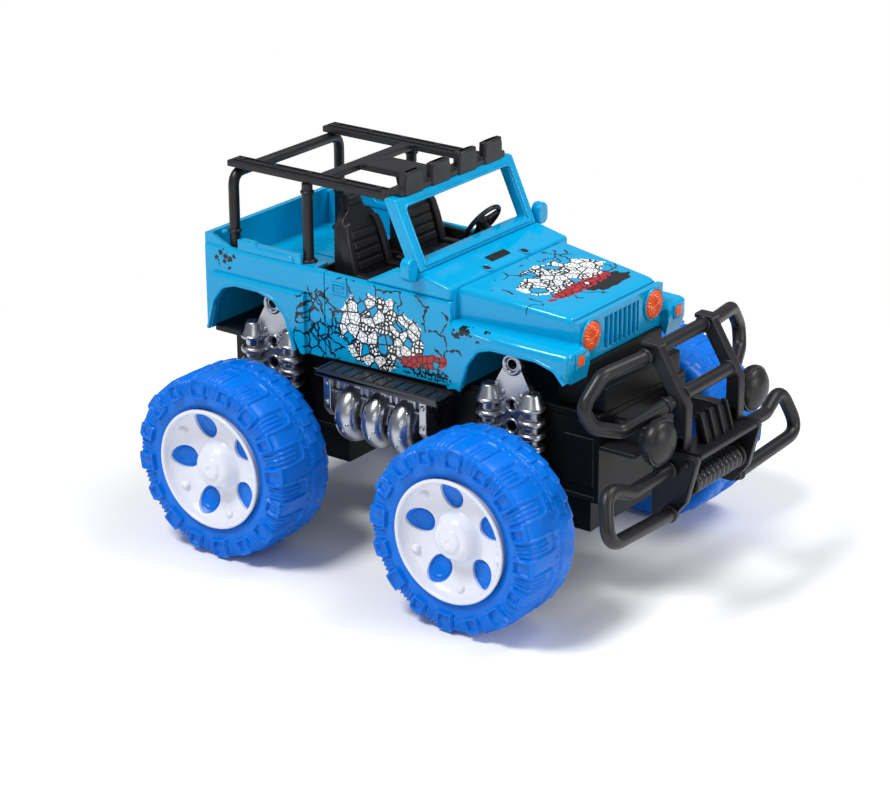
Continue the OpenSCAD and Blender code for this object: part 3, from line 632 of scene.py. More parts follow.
class Shape:
    """A mesh that is being built, in millimetres from the rear axle."""

    def __init__(self) -> None:
        """Starts an empty mesh."""
        self.corners = np.zeros((0, 3))
        self.faces: list[list[int]] = []

    def add(self, corners: Iterable[Point], faces: Iterable[Sequence[int]]) -> "Shape":
        """Adds corners and the faces between them.

        Args:
            corners: The new corners.
            faces: Their faces, counted from the first new corner.

        Returns:
            This shape.
        """
        first = len(self.corners)
        self.corners = np.vstack([self.corners, np.array(list(corners), float).reshape(-1, 3)])
        self.faces += [[first + i for i in face] for face in faces]
        return self

    def join(self, other: "Shape") -> "Shape":
        """Adds another shape to this one and returns this one."""
        return self.add(other.corners, other.faces)

    def prism(self, outline: Sequence[Point], low: float, high: float, axis: int = 1) -> "Shape":
        """Adds an outline spread along an axis.

        Args:
            outline: The corners, in the other two axes in their order.
            low: Where the prism starts along the axis.
            high: Where it ends.
            axis: The axis, 0 to 2.

        Returns:
            This shape.
        """
        n = len(outline)
        corners = [[*p[:axis], end, *p[axis:]] for end in (low, high) for p in map(list, outline)]
        sides = [[i, (i + 1) % n, n + (i + 1) % n, n + i] for i in range(n)]
        return self.add(corners, [list(range(n))[::-1], [n + i for i in range(n)], *sides])

    def brick(self, low: Point, high: Point) -> "Shape":
        """Adds a box from its low corner to its high corner and returns this shape."""
        outline = [(low[0], low[2]), (high[0], low[2]), (high[0], high[2]), (low[0], high[2])]
        return self.prism(outline, low[1], high[1])

    def lathe(self, profile: Sequence[Point], at: Point, axis: Point, steps: int = 64) -> "Shape":
        """Adds a profile turned about an axis.

        Args:
            profile: Radius and height of each point. The ends are closed with a flat cap.
            at: Where height 0 of the axis lies.
            axis: The axis' direction.
            steps: The number of steps round it.

        Returns:
            This shape.
        """
        angles = np.linspace(0, 2 * pi, steps, endpoint=False)
        rings = [np.stack([max(r, 1e-4) * np.cos(angles), max(r, 1e-4) * np.sin(angles), np.full(steps, h)],
            1) for r, h in profile]
        corners = np.vstack(rings) @ turn_to(axis).T + np.array(at, float)
        return self.add(corners, skin(len(profile), steps))

    def ring(self, at: Point, axis: Point, radius: float, wire: Point, steps: int = 48) -> "Shape":
        """Adds a ring with an oval section.

        Args:
            at: Its centre.
            axis: Its axis.
            radius: The radius of its middle line.
            wire: Half the section's width, and half its height along the axis.
            steps: The number of steps round it.

        Returns:
            This shape.
        """
        sides = 16
        a, b = np.meshgrid(np.arange(steps), np.arange(sides), indexing="ij")
        round_, tube = a * 2 * pi / steps, b * 2 * pi / sides
        reach = radius + wire[0] * np.cos(tube)
        local_corners = np.stack([reach * np.cos(round_), reach * np.sin(round_), wire[1] * np.sin(tube)],
            -1)
        corners = local_corners.reshape(-1, 3) @ turn_to(axis).T + np.array(at, float)
        faces = [[i * sides + j, (i + 1) % steps * sides + j, (i + 1) % steps * sides + (j + 1) % sides,
            i * sides + (j + 1) % sides] for i in range(steps) for j in range(sides)]
        return self.add(corners, faces)

    def tube(self, path: Sequence[Point], radius: float | Sequence[float], sides: int = 20) -> "Shape":
        """Adds a round bar along a path, closed at its ends.

        Args:
            path: The path's points.
            radius: The bar's radius, or one for each point.
            sides: The number of sides of its section.

        Returns:
            This shape.
        """
        p = np.array(path, float)
        radii = np.broadcast_to(np.asarray(radius, float), (len(p),))
        along = np.gradient(p, axis=0)
        along /= np.linalg.norm(along, axis=1)[:, None]
        side = np.cross(along[0], [0, 0, 1] if abs(along[0][2]) < 0.9 else [1, 0, 0])
        angles = np.linspace(0, 2 * pi, sides, endpoint=False)
        corners = []
        for place, run, r in zip(p, along, radii):
            side = side - (side @ run) * run
            side /= np.linalg.norm(side)
            up = np.cross(run, side)
            corners.append(place + r * (np.cos(angles)[:, None] * side + np.sin(angles)[:, None] * up))
        return self.add(np.vstack(corners), skin(len(p), sides))

    def plate(self, outline: Sequence[Point], holes: Sequence[Sequence[Point]], low: float,
            high: float) -> "Shape":
        """Adds a flat plate with holes, its outline in x and z and its thickness along y.

        Args:
            outline: The plate's corners.
            holes: The outlines of its holes.
            low: Where it starts along y.
            high: Where it ends.

        Returns:
            This shape.
        """
        curve = bpy.data.curves.new("plate", "CURVE")
        curve.dimensions = "2D"
        curve.fill_mode = "BOTH"
        curve.extrude = (high - low) / 2
        for loop in (outline, *holes):
            spline = curve.splines.new("POLY")
            spline.points.add(len(loop) - 1)
            spline.points.foreach_set("co", [v for p in loop for v in (p[0], p[1], 0.0, 1.0)])
            spline.use_cyclic_u = True
        maker = bpy.data.objects.new("plate", curve)
        mesh = bpy.data.meshes.new_from_object(maker)
        middle = (low + high) / 2
        corners = [(v.co.x, middle - v.co.z, v.co.y) for v in mesh.vertices]
        self.add(corners, [list(f.vertices) for f in mesh.polygons])
        bpy.data.objects.remove(maker)
        bpy.data.curves.remove(curve)
        bpy.data.meshes.remove(mesh)
        return self

    def moved(self, shift: Point) -> "Shape":
        """Returns a copy of this shape, moved."""
        return Shape().add(self.corners + np.array(shift, float), self.faces)

    def turned(self, axis: Point, degrees: float, centre: Point = (0, 0, 0)) -> "Shape":
        """Returns a copy of this shape, turned about an axis through a centre.

        Args:
            axis: The direction of the axis.
            degrees: The angle.
            centre: A point on the axis.

        Returns:
            The new shape.
        """
        turn = np.array(Matrix.Rotation(radians(degrees), 3, Vector(axis)))
        middle = np.array(centre, float)
        return Shape().add((self.corners - middle) @ turn.T + middle, self.faces)

    def doubled(self) -> "Shape":
        """Returns this shape together with its mirror image."""
        return self.mirrored().join(self)

    def mirrored(self, side: int = -1) -> "Shape":
        """Returns this shape for a side of the toy: itself on the left (1), mirrored on the right (-1).

        Args:
            side: 1 for the left and -1 for the right.

        Returns:
            The shape.
        """
        if side > 0:
            return self
        return Shape().add(self.corners * [1, -1, 1], [face[::-1] for face in self.faces])

    def mesh(self, name: str) -> Mesh:
        """Builds the Blender mesh in metres, merged and with its faces outward.

        Args:
            name: The mesh's name.

        Returns:
            The mesh.
        """
        mesh = bpy.data.meshes.new(name)
        place = (self.corners + [REAR_AXLE.x, 0, 0]) * MM
        mesh.from_pydata(place.tolist(), [], self.faces)
        work = bmesh.new()
        work.from_mesh(mesh)
        bmesh.ops.remove_doubles(work, verts=work.verts, dist=0.002 * MM)
        bmesh.ops.recalc_face_normals(work, faces=work.faces)
        work.to_mesh(mesh)
        work.free()
        return mesh


def node_shape(node: str, whole: bool = True) -> Shape:
    """Copies a CAD node, with its corners merged.

    Args:
        node: The node's name.
        whole: Whether its flat faces are made whole, which a face with slots doesn't take.

    Returns:
        The copy.
    """
    work = bmesh.new()
    work.from_mesh(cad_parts[node].data)
    bmesh.ops.remove_doubles(work, verts=work.verts, dist=0.005 * MM)
    if whole:
        bmesh.ops.dissolve_limit(work, angle_limit=radians(1), verts=work.verts, edges=work.edges)
    work.verts.index_update()
    corners = [v.co / MM - Vector((REAR_AXLE.x, 0, 0)) for v in work.verts]
    shape = Shape().add(corners, [[v.index for v in face.verts] for face in work.faces])
    work.free()
    return shape


@dataclass(frozen=True)
class Look:
    """How a piece is finished: its material, its slot and the roundness of its edges."""

    finish: Finish
    slot: Slot
    edge_mm: float = 0.0
    sharp: float = 35.0

    def edged(self, edge_mm: float) -> "Look":
        """Returns this look with another roundness of its edges."""
        return replace(self, edge_mm=edge_mm)


def rounding(piece: Object, name: str, width: float, segments: int, limit: str) -> Any:
    """Adds a bevel to a piece.

    Args:
        piece: The piece.
        name: The modifier's name.
        width: The bevel's width in millimetres.
        segments: The number of steps across it.
        limit: How its edges are chosen.

    Returns:
        The modifier.
    """
    bevel = piece.modifiers.new(name, "BEVEL")
    bevel.width = width * MM
    bevel.segments = segments
    bevel.limit_method = limit
    bevel.harden_normals = True
    return bevel


def place(
    name: str, shape: Shape | Mesh, look: Look, body: Body = Body.TRUCK, replaces: Sequence[str] = ()
) -> Object:
    """Adds a finished piece that rides on a body.

    Args:
        name: The piece's name.
        shape: Its shape, or a mesh in metres.
        look: How it is finished.
        body: The body that carries it.
        replaces: The CAD nodes that it stands for.

    Returns:
        The object.
    """
    mesh = shape.mesh(name) if isinstance(shape, Shape) else shape
    mesh.name = name
    mesh.shade_smooth()
    mesh.set_sharp_from_angle(angle=radians(look.sharp))
    mesh.materials.clear()
    mesh.materials.append(look.finish.build())
    piece = bpy.data.objects.new(name, mesh)
    bpy.context.scene.collection.objects.link(piece)
    if look.edge_mm:
        rounding(piece, "edges", look.edge_mm, 2, "ANGLE").angle_limit = radians(look.sharp)
    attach(piece, body.value)
    if replaces:
        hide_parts(*replaces)
    LOG.info("%s: %d faces on %s", name, len(mesh.polygons), body.value)
    return piece


def soften(piece: Object, width: float, zones: Sequence[Zone]) -> None:
    """Rounds a piece's outer edges more than the rest.

    Args:
        piece: The piece.
        width: The rounding's width in millimetres.
        zones: Ranges of x, of y on both sides and of z. An edge that lies in one of them is rounded.
    """
    mesh = piece.data
    work = bmesh.new()
    work.from_mesh(mesh)
    weight = work.edges.layers.float.get("bevel_weight_edge") or work.edges.layers.float.new(
        "bevel_weight_edge")
    for edge in work.edges:
        if len(edge.link_faces) != 2 or edge.calc_face_angle_signed() < radians(25):
            continue
        ends = [v.co / MM - Vector((REAR_AXLE.x, 0, 0)) for v in edge.verts]
        inside = [all(low <= value <= high for p in ends for (low, high),
            value in zip(zone, (p.x, abs(p.y), p.z))) for zone in zones]
        edge[weight] = float(any(inside))
    work.to_mesh(mesh)
    work.free()
    rounding(piece, "soft", width, 5, "WEIGHT").use_clamp_overlap = False
    piece.modifiers.move(len(piece.modifiers) - 1, 0)


class Repeat:
    """A Geometry Nodes tree that repeats a shape in a row, round an axis, or both."""

    tree: Tree | None = None

    @classmethod
    def build(cls) -> Tree:
        """Builds the tree once and returns it.

        Returns:
            The node tree.
        """
        if cls.tree:
            return cls.tree
        tree = bpy.data.node_groups.new("repeat", "GeometryNodeTree")
        face = tree.interface
        face.new_socket("Geometry", in_out="OUTPUT", socket_type="NodeSocketGeometry")
        face.new_socket("Geometry", in_out="INPUT", socket_type="NodeSocketGeometry")
        kinds = {"Count": "Int", "Step": "Vector", "Turn": "Vector", "Centre": "Vector", "Merge": "Float",
            "Material": "Material"}
        for name, kind in kinds.items():
            face.new_socket(name, in_out="INPUT", socket_type=f"NodeSocket{kind}")
        given = add_node(tree, "NodeGroupInput").outputs
        index = add_node(tree, "GeometryNodeInputIndex").outputs[0]
        turn, step = (add_node(tree, "ShaderNodeVectorMath", {0: given[name], "Scale": index},
            operation="SCALE").outputs[0] for name in ("Turn", "Step"))
        made = add_node(tree, "GeometryNodePoints", {"Count": given["Count"]})
        for kind, entry, inputs in (("InstanceOnPoints", "Points", {"Instance": given["Geometry"]}),
                ("RotateInstances", "Instances", {"Rotation": turn, "Pivot Point": given["Centre"],
                "Local Space": False}), ("TranslateInstances", "Instances",
                {"Translation": step, "Local Space": False}), ("RealizeInstances", "Geometry", {}),
                ("MergeByDistance", "Geometry", {"Distance": given["Merge"]}),
                ("SetMaterial", "Geometry", {"Material": given["Material"]})):
            made = add_node(tree, f"GeometryNode{kind}", {entry: made.outputs[0], **inputs})
        add_node(tree, "NodeGroupOutput", {0: made.outputs[0]})
        cls.tree = tree
        return tree

    @classmethod
    def apply(cls, shape: Shape, finish: Finish, count: int, step: Point = (0, 0, 0),
            turn: Point = (0, 0, 0), centre: Point = (0, 0, 0), merge_mm: float = 0.0002) -> Mesh:
        """Repeats a shape and returns the mesh of all copies.

        Args:
            shape: The shape, in the first copy's place.
            finish: The copies' finish.
            count: The number of copies.
            step: How far each copy is moved from the last, in millimetres.
            turn: How far each copy is turned, in degrees about x, y and z.
            centre: The point it turns about, in millimetres from the rear axle.
            merge_mm: How near corners are joined.

        Returns:
            The mesh.
        """
        tree = cls.build()
        maker = bpy.data.objects.new("maker", shape.mesh("maker"))
        bpy.context.scene.collection.objects.link(maker)
        modifier = maker.modifiers.new("repeat", "NODES")
        modifier.node_group = tree
        wanted = {
            "Count": count,
            "Step": Vector(step) * MM,
            "Turn": Vector([radians(v) for v in turn]),
            "Centre": (Vector(centre) + Vector((REAR_AXLE.x, 0, 0))) * MM,
            "Merge": merge_mm * MM,
            "Material": finish.build(),
        }
        for item in tree.interface.items_tree:
            if item.in_out == "INPUT" and item.name in wanted:
                modifier[item.identifier] = wanted[item.name]
        graph = bpy.context.evaluated_depsgraph_get()
        mesh = bpy.data.meshes.new_from_object(maker.evaluated_get(graph))
        base = maker.data
        bpy.data.objects.remove(maker)
        bpy.data.meshes.remove(base)
        return mesh


def row(name: str, shape: Shape, look: Look, count: int, step: Point) -> None:
    """Adds a row of equal pieces on the truck, each one step from the last."""
    place(name, Repeat.apply(shape, look.finish, count, step=step), look)


def pair(
    name: str, shape: Shape, look: Look, replaces: str = "", count: int = 1, step: Point = (0, 0, 0)
) -> None:
    """Adds a piece, or a row of them, on the truck's left and its mirror image on the right.

    Args:
        name: The piece's name, with {} for its side.
        shape: Its shape on the left.
        look: How it is finished.
        replaces: The CAD node that it stands for. A node without {} belongs to the left piece.
        count: How many there are in a row.
        step: How far each is from the last on the left.
    """
    for side_name, side in SIDES:
        one: Shape | Mesh = shape.mirrored(side)
        if count > 1:
            one = Repeat.apply(one, look.finish, count, step=(step[0], step[1] * side, step[2]))
        stands = replaces and (side > 0 or "{}" in replaces)
        place(name.format(side_name), one, look, replaces=[replaces.format(side_name)] if stands else [])


# ---------------------------------------------------------------- looks of the pieces

SHELL_LOOK = Look(SHELL, Slot.BLUE, 0.55)
PLAIN = Look(SHELL_PLAIN, Slot.BLUE)
TRIM = Look(TRIM_PP, Slot.BLACK, 0.35)
TRIM_ROUND = Look(TRIM_PP, Slot.BLACK)
TRIM_BAR = Look(TRIM_PP, Slot.BLACK, sharp=50)
HULL = Look(CHASSIS_ABS, Slot.BLACK, 0.4)
PLATED = Look(CHROME, Slot.CHROME, 0.25)
BOARD = Look(GUNMETAL, Slot.GUNMETAL, 0.2)
HUB = Look(HUB_ABS, Slot.WHITE, 0.22, 40.0)
TREAD = Look(TYRE_PVC, Slot.TYRE, sharp=60.0)
LENS = Look(LAMP_PAINT, Slot.ORANGE, sharp=5)
# Painted shade: matt near-black for the shade inside vents and recesses
PAINTED_SHADE = Look(SLOT_SHADE_PAINT, Slot.BLACK)
SCREW = Look(STEEL, Slot.STEEL, 0.08)
ROPE = Look(ROPE_GREY, Slot.BLACK)


# ---------------------------------------------------------------- wheels


def rounded_box(a: np.ndarray, s: np.ndarray, at: Point, half: Point, corner: float) -> np.ndarray:
    """Returns the distance to a rounded rectangle, below 0 inside it.

    Args:
        a: The coordinate round the tyre.
        s: The coordinate across it.
        at: The rectangle's middle.
        half: Its half lengths.
        corner: Its corners' radius.

    Returns:
        The distances.
    """
    da = np.abs(a - at[0]) - half[0] + corner
    ds = np.abs(s - at[1]) - half[1] + corner
    return np.hypot(np.maximum(da, 0), np.maximum(ds, 0)) + np.minimum(np.maximum(da, ds), 0) - corner


def raised(distance: np.ndarray, wall: float = 0.5) -> np.ndarray:
    """Returns 1 inside an outline and 0 outside it, with a soft wall between."""
    t = np.clip(0.5 - distance / wall, 0, 1)
    return t * t * (3 - 2 * t)


@dataclass
class Tread:
    """The moulded pattern of one eighth of a tyre: heights over its section."""

    radius: float
    inner: float
    outer: float
    bead: float
    web: float
    sectors: int = 8
    columns: int = 68
    rows: int = 128
    depth: float = 0.55

    def section(self) -> tuple[np.ndarray, np.ndarray]:
        """Builds the closed section.

        Returns:
            Its points as radius and y, and each one's way along the outside, below 0 where no pattern is.
        """
        base, bead = self.radius - self.depth, self.bead
        inner, outer, web = self.inner, self.outer, self.web
        outside = smooth_path([(bead, outer - 1.7), (bead + 1.0, outer - 1.3), (bead + 2.4, outer - 0.95),
            (self.radius - 4.2, outer - 0.8), (self.radius - 2.3, outer - 1.0), (base - 0.75, outer - 1.75),
            (base - 0.2, outer - 3.2), (base, outer - 5.6), (base + 0.05, outer - 10), (base, inner + 7),
            (base - 0.05, inner + 3.8), (base - 0.4, inner + 1.7), (base - 1.5, inner + 0.5),
            (self.radius - 4.4, inner + 0.1), (bead + 2.4, inner + 0.6), (bead - 0.6, inner + 2.6)], 24)
        run = np.concatenate([[0], np.cumsum(np.linalg.norm(np.diff(outside, axis=0), axis=1))])
        dense = np.interp(run, [0, 1.5, 3, 17, 21, run[-1] * 0.8, run[-1]],
            [0.5, 1, 2.2, 2.2, 1.3, 1.0, 0.5])
        steps = np.concatenate([[0], np.cumsum(dense[1:] * np.diff(run))])
        even = np.interp(np.linspace(0, steps[-1], self.rows), steps, run)
        shown = np.stack([np.interp(even, run, outside[:, i]) for i in (0, 1)], 1)
        tube, bore = bead * 0.33, 1.62
        rest = [(bead - 1.4, inner + 3.4), (bead - 1.5, web - 4), (bead - 2.5, web - 3),
            (tube + 1, web - 3), (tube, web - 4), (tube, inner + 1), (tube - 0.6, inner + 0.5),
            (bore, inner + 0.5), (bore, web - 0.4), (2.0, web - 0.1), (bead - 0.3, web - 0.1),
            (bead, web + 0.2)]
        return np.vstack([shown, rest]), np.concatenate([even, np.full(len(rest), -1.0)])

    def heights(self, turn: np.ndarray, section: np.ndarray, run: np.ndarray) -> np.ndarray:
        """Returns the pattern's height over each point of the section.

        Args:
            turn: The angles round the tyre, as a column.
            section: The section's points.
            run: How far along the outside each one is.

        Returns:
            The heights.
        """
        pitch = pi / self.sectors
        radius, across = section[:, 0], section[:, 1]
        shown = run >= 0
        crown = shown & (radius > self.radius - 2.0)
        wall = shown & (np.arange(len(run)) < np.argmax(crown) + 8)

        def along(y: float) -> float:
            """Returns how far along the outside the tread reaches y."""
            return float(run[crown][np.argmin(np.abs(across[crown] - y))])

        def down(r: float) -> float:
            """Returns how far along the outside the outer sidewall has radius r."""
            return float(run[wall][np.argmin(np.abs(radius[wall] - r))])

        h = np.zeros((len(turn), len(section)))
        start, end = down(self.radius - 2.2), along(self.outer - 11.4)
        low = down(self.radius - 5.6)
        for k in range(3):
            gap = (turn - k * pitch) * radius
            loop = rounded_box(gap, run, (0, (start + end) / 2 - 2), (2.7, (end - start) / 2 + 2), 1.5)
            line = raised(np.abs(loop) - 0.3, 0.3) * (run > start)
            h = np.maximum(h, line * self.depth)
            h = h - raised(loop + 0.7, 0.4) * (run > start) * 0.35
            for rib in (-1.3, 0, 1.3):
                stop = end - (3.4 if rib else 2.7)
                bar = rounded_box(gap, run, (rib, (low + stop) / 2), (0.3, (stop - low) / 2), 0.28)
                h = np.maximum(h, raised(bar, 0.3) * self.depth * 0.8)
        for k in range(2):
            gap = (turn - (k + 0.5) * pitch) * radius
            half = ((2.6, 2.75), (2.2, 2.3))[k]
            middle = down(self.radius - 3.6)
            block = rounded_box(gap, run, (0, middle), half, 0.5)
            dent = rounded_box(gap, run, (0, middle), (half[0] - 0.85, half[1] - 0.85), 0.25)
            h = np.maximum(h, raised(block, 0.4) * (1.2 - 1.0 * raised(dent, 0.3)))
        seam = along(self.inner + 8.4)
        dash = pitch / 4
        for k in range(-1, 10):
            gap = (turn - k * dash) * radius
            for shift, half, off in ((0.0, (1.05, 0.2), 0.0), (0.5, (0.2, 0.75), 1.3),
                    (0.0, (0.18, 0.6), -1.9)):
                bar = rounded_box(gap - shift * dash * radius, run, (0, seam + off), half, 0.15)
                h = np.maximum(h, raised(bar, 0.35) * self.depth * 0.6)
        for row, (first, last) in enumerate(((seam + 0.6, seam + 4.2), (seam + 4.2, seam + 9.6))):
            share = ((turn / pitch * 2 + 0.5 * row) % 1.0) * np.ones_like(run)
            edge = np.minimum(share, 1 - share) * pitch / 2 * radius
            facet = (0.1 + 0.85 * share) * self.depth * np.clip(edge / 0.3, 0, 1)
            inside = raised(np.abs(run - (first + last) / 2) - (last - first) / 2, 0.5)
            h = np.maximum(h, facet * inside)
        return np.where(shown, h, 0)

    def sector(self, x: float, z: float) -> Shape:
        """Builds one sector of the tyre round an axle.

        Args:
            x: The axle's place.
            z: The axle's height.

        Returns:
            The sector.
        """
        section, run = self.section()
        turn = np.linspace(0, 2 * pi / self.sectors, self.columns + 1)[:, None]
        h = self.heights(turn, section, run)
        ahead, behind = np.roll(section, -1, axis=0), np.roll(section, 1, axis=0)
        along = ahead - behind
        along /= np.linalg.norm(along, axis=1)[:, None]
        radius = section[:, 0] + h * along[:, 1] * -1
        across = section[:, 1] + h * along[:, 0]
        corners = np.stack([x + radius * np.sin(turn), across, z + radius * np.cos(turn)], -1)
        n = len(section)
        faces = [[i * n + j, (i + 1) * n + j, (i + 1) * n + (j + 1) % n, i * n + (j + 1) % n]
            for i in range(self.columns) for j in range(n)]
        return Shape().add(corners.reshape(-1, 3), faces)


@dataclass
class Wheel:
    """A tyre with its hub cap, built on the left of the rear axle and copied to the other places."""

    cap_radius: float = 18.0
    hub: float = 7.3
    windows: int = 5
    window_at: float = 12.1
    window: tuple[float, float] = (3.5, 4.1)
    phase: tuple[float, float] = (-8.0, -19.0)
    dish: float = 5.4

    def __post_init__(self) -> None:
        """Measures the CAD wheel."""
        low, high = local("rear_left_tyre")
        self.tyre_radius = (high.x - low.x) / 2
        self.inner, self.outer = low.y, high.y
        self.lip = local("rear_left_hub_cap")[1].y

    @property
    def web(self) -> float:
        """Returns where the tyre's web faces the hub cap."""
        return self.lip - self.dish - 2.4

    @property
    def bowl(self) -> list[tuple[float, float]]:
        """Returns the dish between the lip and the cone, from the lip inwards."""
        r, floor = self.cap_radius, self.lip - self.dish
        return [(r - 1.35, self.lip - 1.2), (r - 1.7, self.lip - 2.2), (r - 2.6, floor + 2.2),
            (r - 3.8, floor + 1.35), (r - 5.2, floor + 0.7), (r - 6.8, floor + 0.25), (r - 8.4, floor),
            (self.hub + 0.9, floor)]

    def dish_at(self, radius: float) -> float:
        """Returns the height of the dish at a radius."""
        bowl = self.bowl[::-1]
        return float(np.interp(radius, [p[0] for p in bowl], [p[1] for p in bowl]))

    def oval(self, half_long: float, half_short: float, steps: int = 28) -> list[tuple[float, float]]:
        """Returns an oval outline round the origin, from its two half lengths."""
        turns = [2 * pi * i / steps for i in range(steps)]
        return [(half_long * cos(t), half_short * sin(t)) for t in turns]

    def around(self, shape: Shape, shift: float = 0.0) -> Shape:
        """Repeats a shape round the axle once for each window.

        Args:
            shape: The shape at the top of the wheel.
            shift: The first copy's turn, as a share of the distance between windows.

        Returns:
            All copies.
        """
        whole = Shape()
        for i in range(self.windows):
            whole.join(shape.turned(OUT, (i + shift) * 360 / self.windows, (0, 0, AXLE_Z)))
        return whole

    def cap(self) -> Mesh:
        """Builds the white cap: a rolled lip, a dished floor with windows, and a cone.

        Returns:
            The mesh.
        """
        r, lip, floor = self.cap_radius, self.lip, self.lip - self.dish
        profile = [(0, self.web), (r - 0.95, self.web), (r - 0.8, self.web + 0.3), (r - 0.8, lip - 1.6),
            (r - 0.3, lip - 1.2), (r, lip - 0.8), (r, lip - 0.4), (r - 0.25, lip - 0.1), (r - 0.6, lip),
            (r - 0.95, lip - 0.1), (r - 1.2, lip - 0.45), *self.bowl, (self.hub + 0.3, floor + 0.2),
            (self.hub - 0.3, floor + 1.0), (self.hub - 0.9, floor + 2.2), (self.hub - 1.7, floor + 3.5),
            (self.hub - 2.3, floor + 4.0), (self.hub - 3.0, floor + 4.2), (self.hub - 3.9, floor + 4.3),
            (self.hub - 4.2, floor + 4.75), (self.hub - 5.0, floor + 5.0), (0.9, floor + 5.05),
            (0.7, floor + 4.85), (0, floor + 4.85)]
        body = Shape().lathe(profile, (0, 0, AXLE_Z), OUT, 96)
        cut = Shape().prism(self.oval(*self.window), self.web - 1, lip + 1,
            1).moved((0, 0, AXLE_Z + self.window_at))
        maker = bpy.data.objects.new("cap", body.mesh("cap"))
        cutter = bpy.data.objects.new("windows", self.around(cut).mesh("windows"))
        for piece in (maker, cutter):
            bpy.context.scene.collection.objects.link(piece)
        holes = maker.modifiers.new("windows", "BOOLEAN")
        holes.object = cutter
        holes.solver = "EXACT"
        graph = bpy.context.evaluated_depsgraph_get()
        mesh = bpy.data.meshes.new_from_object(maker.evaluated_get(graph))
        bpy.data.objects.remove(maker)
        bpy.data.objects.remove(cutter)
        return mesh

    def studs(self) -> Shape:
        """Builds the small studs between the windows.

        Returns:
            The studs of one wheel.
        """
        at = self.cap_radius - 3.3
        profile = [(1.25, -1.4), (1.25, 0.3), (1.0, 0.8), (0.55, 1.05), (0, 1.1)]
        return self.around(Shape().lathe(profile, (0, self.dish_at(at), AXLE_Z + at), OUT, 24), 0.5)

    def plugs(self) -> Shape:
        """Builds the tyre's own raised plugs, which show through the windows.

        Returns:
            The plugs of one wheel.
        """
        rings = []
        for share, sink in ((1.06, 3.0), (1.06, 0.95), (0.78, 0.95), (0.72, 0.6), (0.6, 0.6), (0.54, 0.85),
                (0.02, 0.85)):
            ring = [(x * share, z * share + self.window_at) for x, z in self.oval(*self.window)]
            rings.append([(x, self.dish_at(hypot(x, z)) - sink, z + AXLE_Z) for x, z in ring])
        plug = Shape().add([p for ring in rings for p in ring], skin(len(rings), len(rings[0])))
        return self.around(plug)

    def build(self) -> None:
        """Adds the four wheels."""
        tread = Tread(self.tyre_radius, self.inner, self.outer, self.cap_radius - 0.1, self.web)
        turn = (0, 360 / tread.sectors, 0)
        eighth = tread.sector(0, AXLE_Z)
        tyre = Repeat.apply(eighth, TYRE_PVC, tread.sectors, turn=turn, centre=(0, 0, AXLE_Z),
            merge_mm=0.01)
        parts = {
            "tyre": (tyre, TREAD),
            "hub_cap": (self.cap(), HUB),
            "hub_studs": (self.studs().mesh("studs"), Look(HUB_ABS, Slot.WHITE)),
            "hub_plugs": (self.plugs().mesh("plugs"), Look(TYRE_PVC, Slot.TYRE, 0.25)),
        }
        for name, x, body in (("rear", 0.0, Body.REAR), ("front", WHEELBASE, Body.FRONT)):
            for side_name, side in SIDES:
                for part, (source, look) in parts.items():
                    mesh = source.copy()
                    axle = Matrix.Translation((REAR_AXLE.x * MM, 0, AXLE_Z * MM))
                    spin = axle @ Matrix.Rotation(radians(self.phase[x == 0]), 4, "Y") @ axle.inverted()
                    mesh.transform(Matrix.Translation((x * MM, 0, 0)) @ Matrix.Diagonal(
                        (1, side, 1, 1)) @ spin)
                    if side < 0:
                        mesh.flip_normals()
                    node = f"{name}_{side_name}_{part}"
                    cad = [node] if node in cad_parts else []
                    place(f"{node}_look" if cad else node, mesh, look, body, cad)
        for source, _ in parts.values():
            bpy.data.meshes.remove(source)


# ---------------------------------------------------------------- running gear


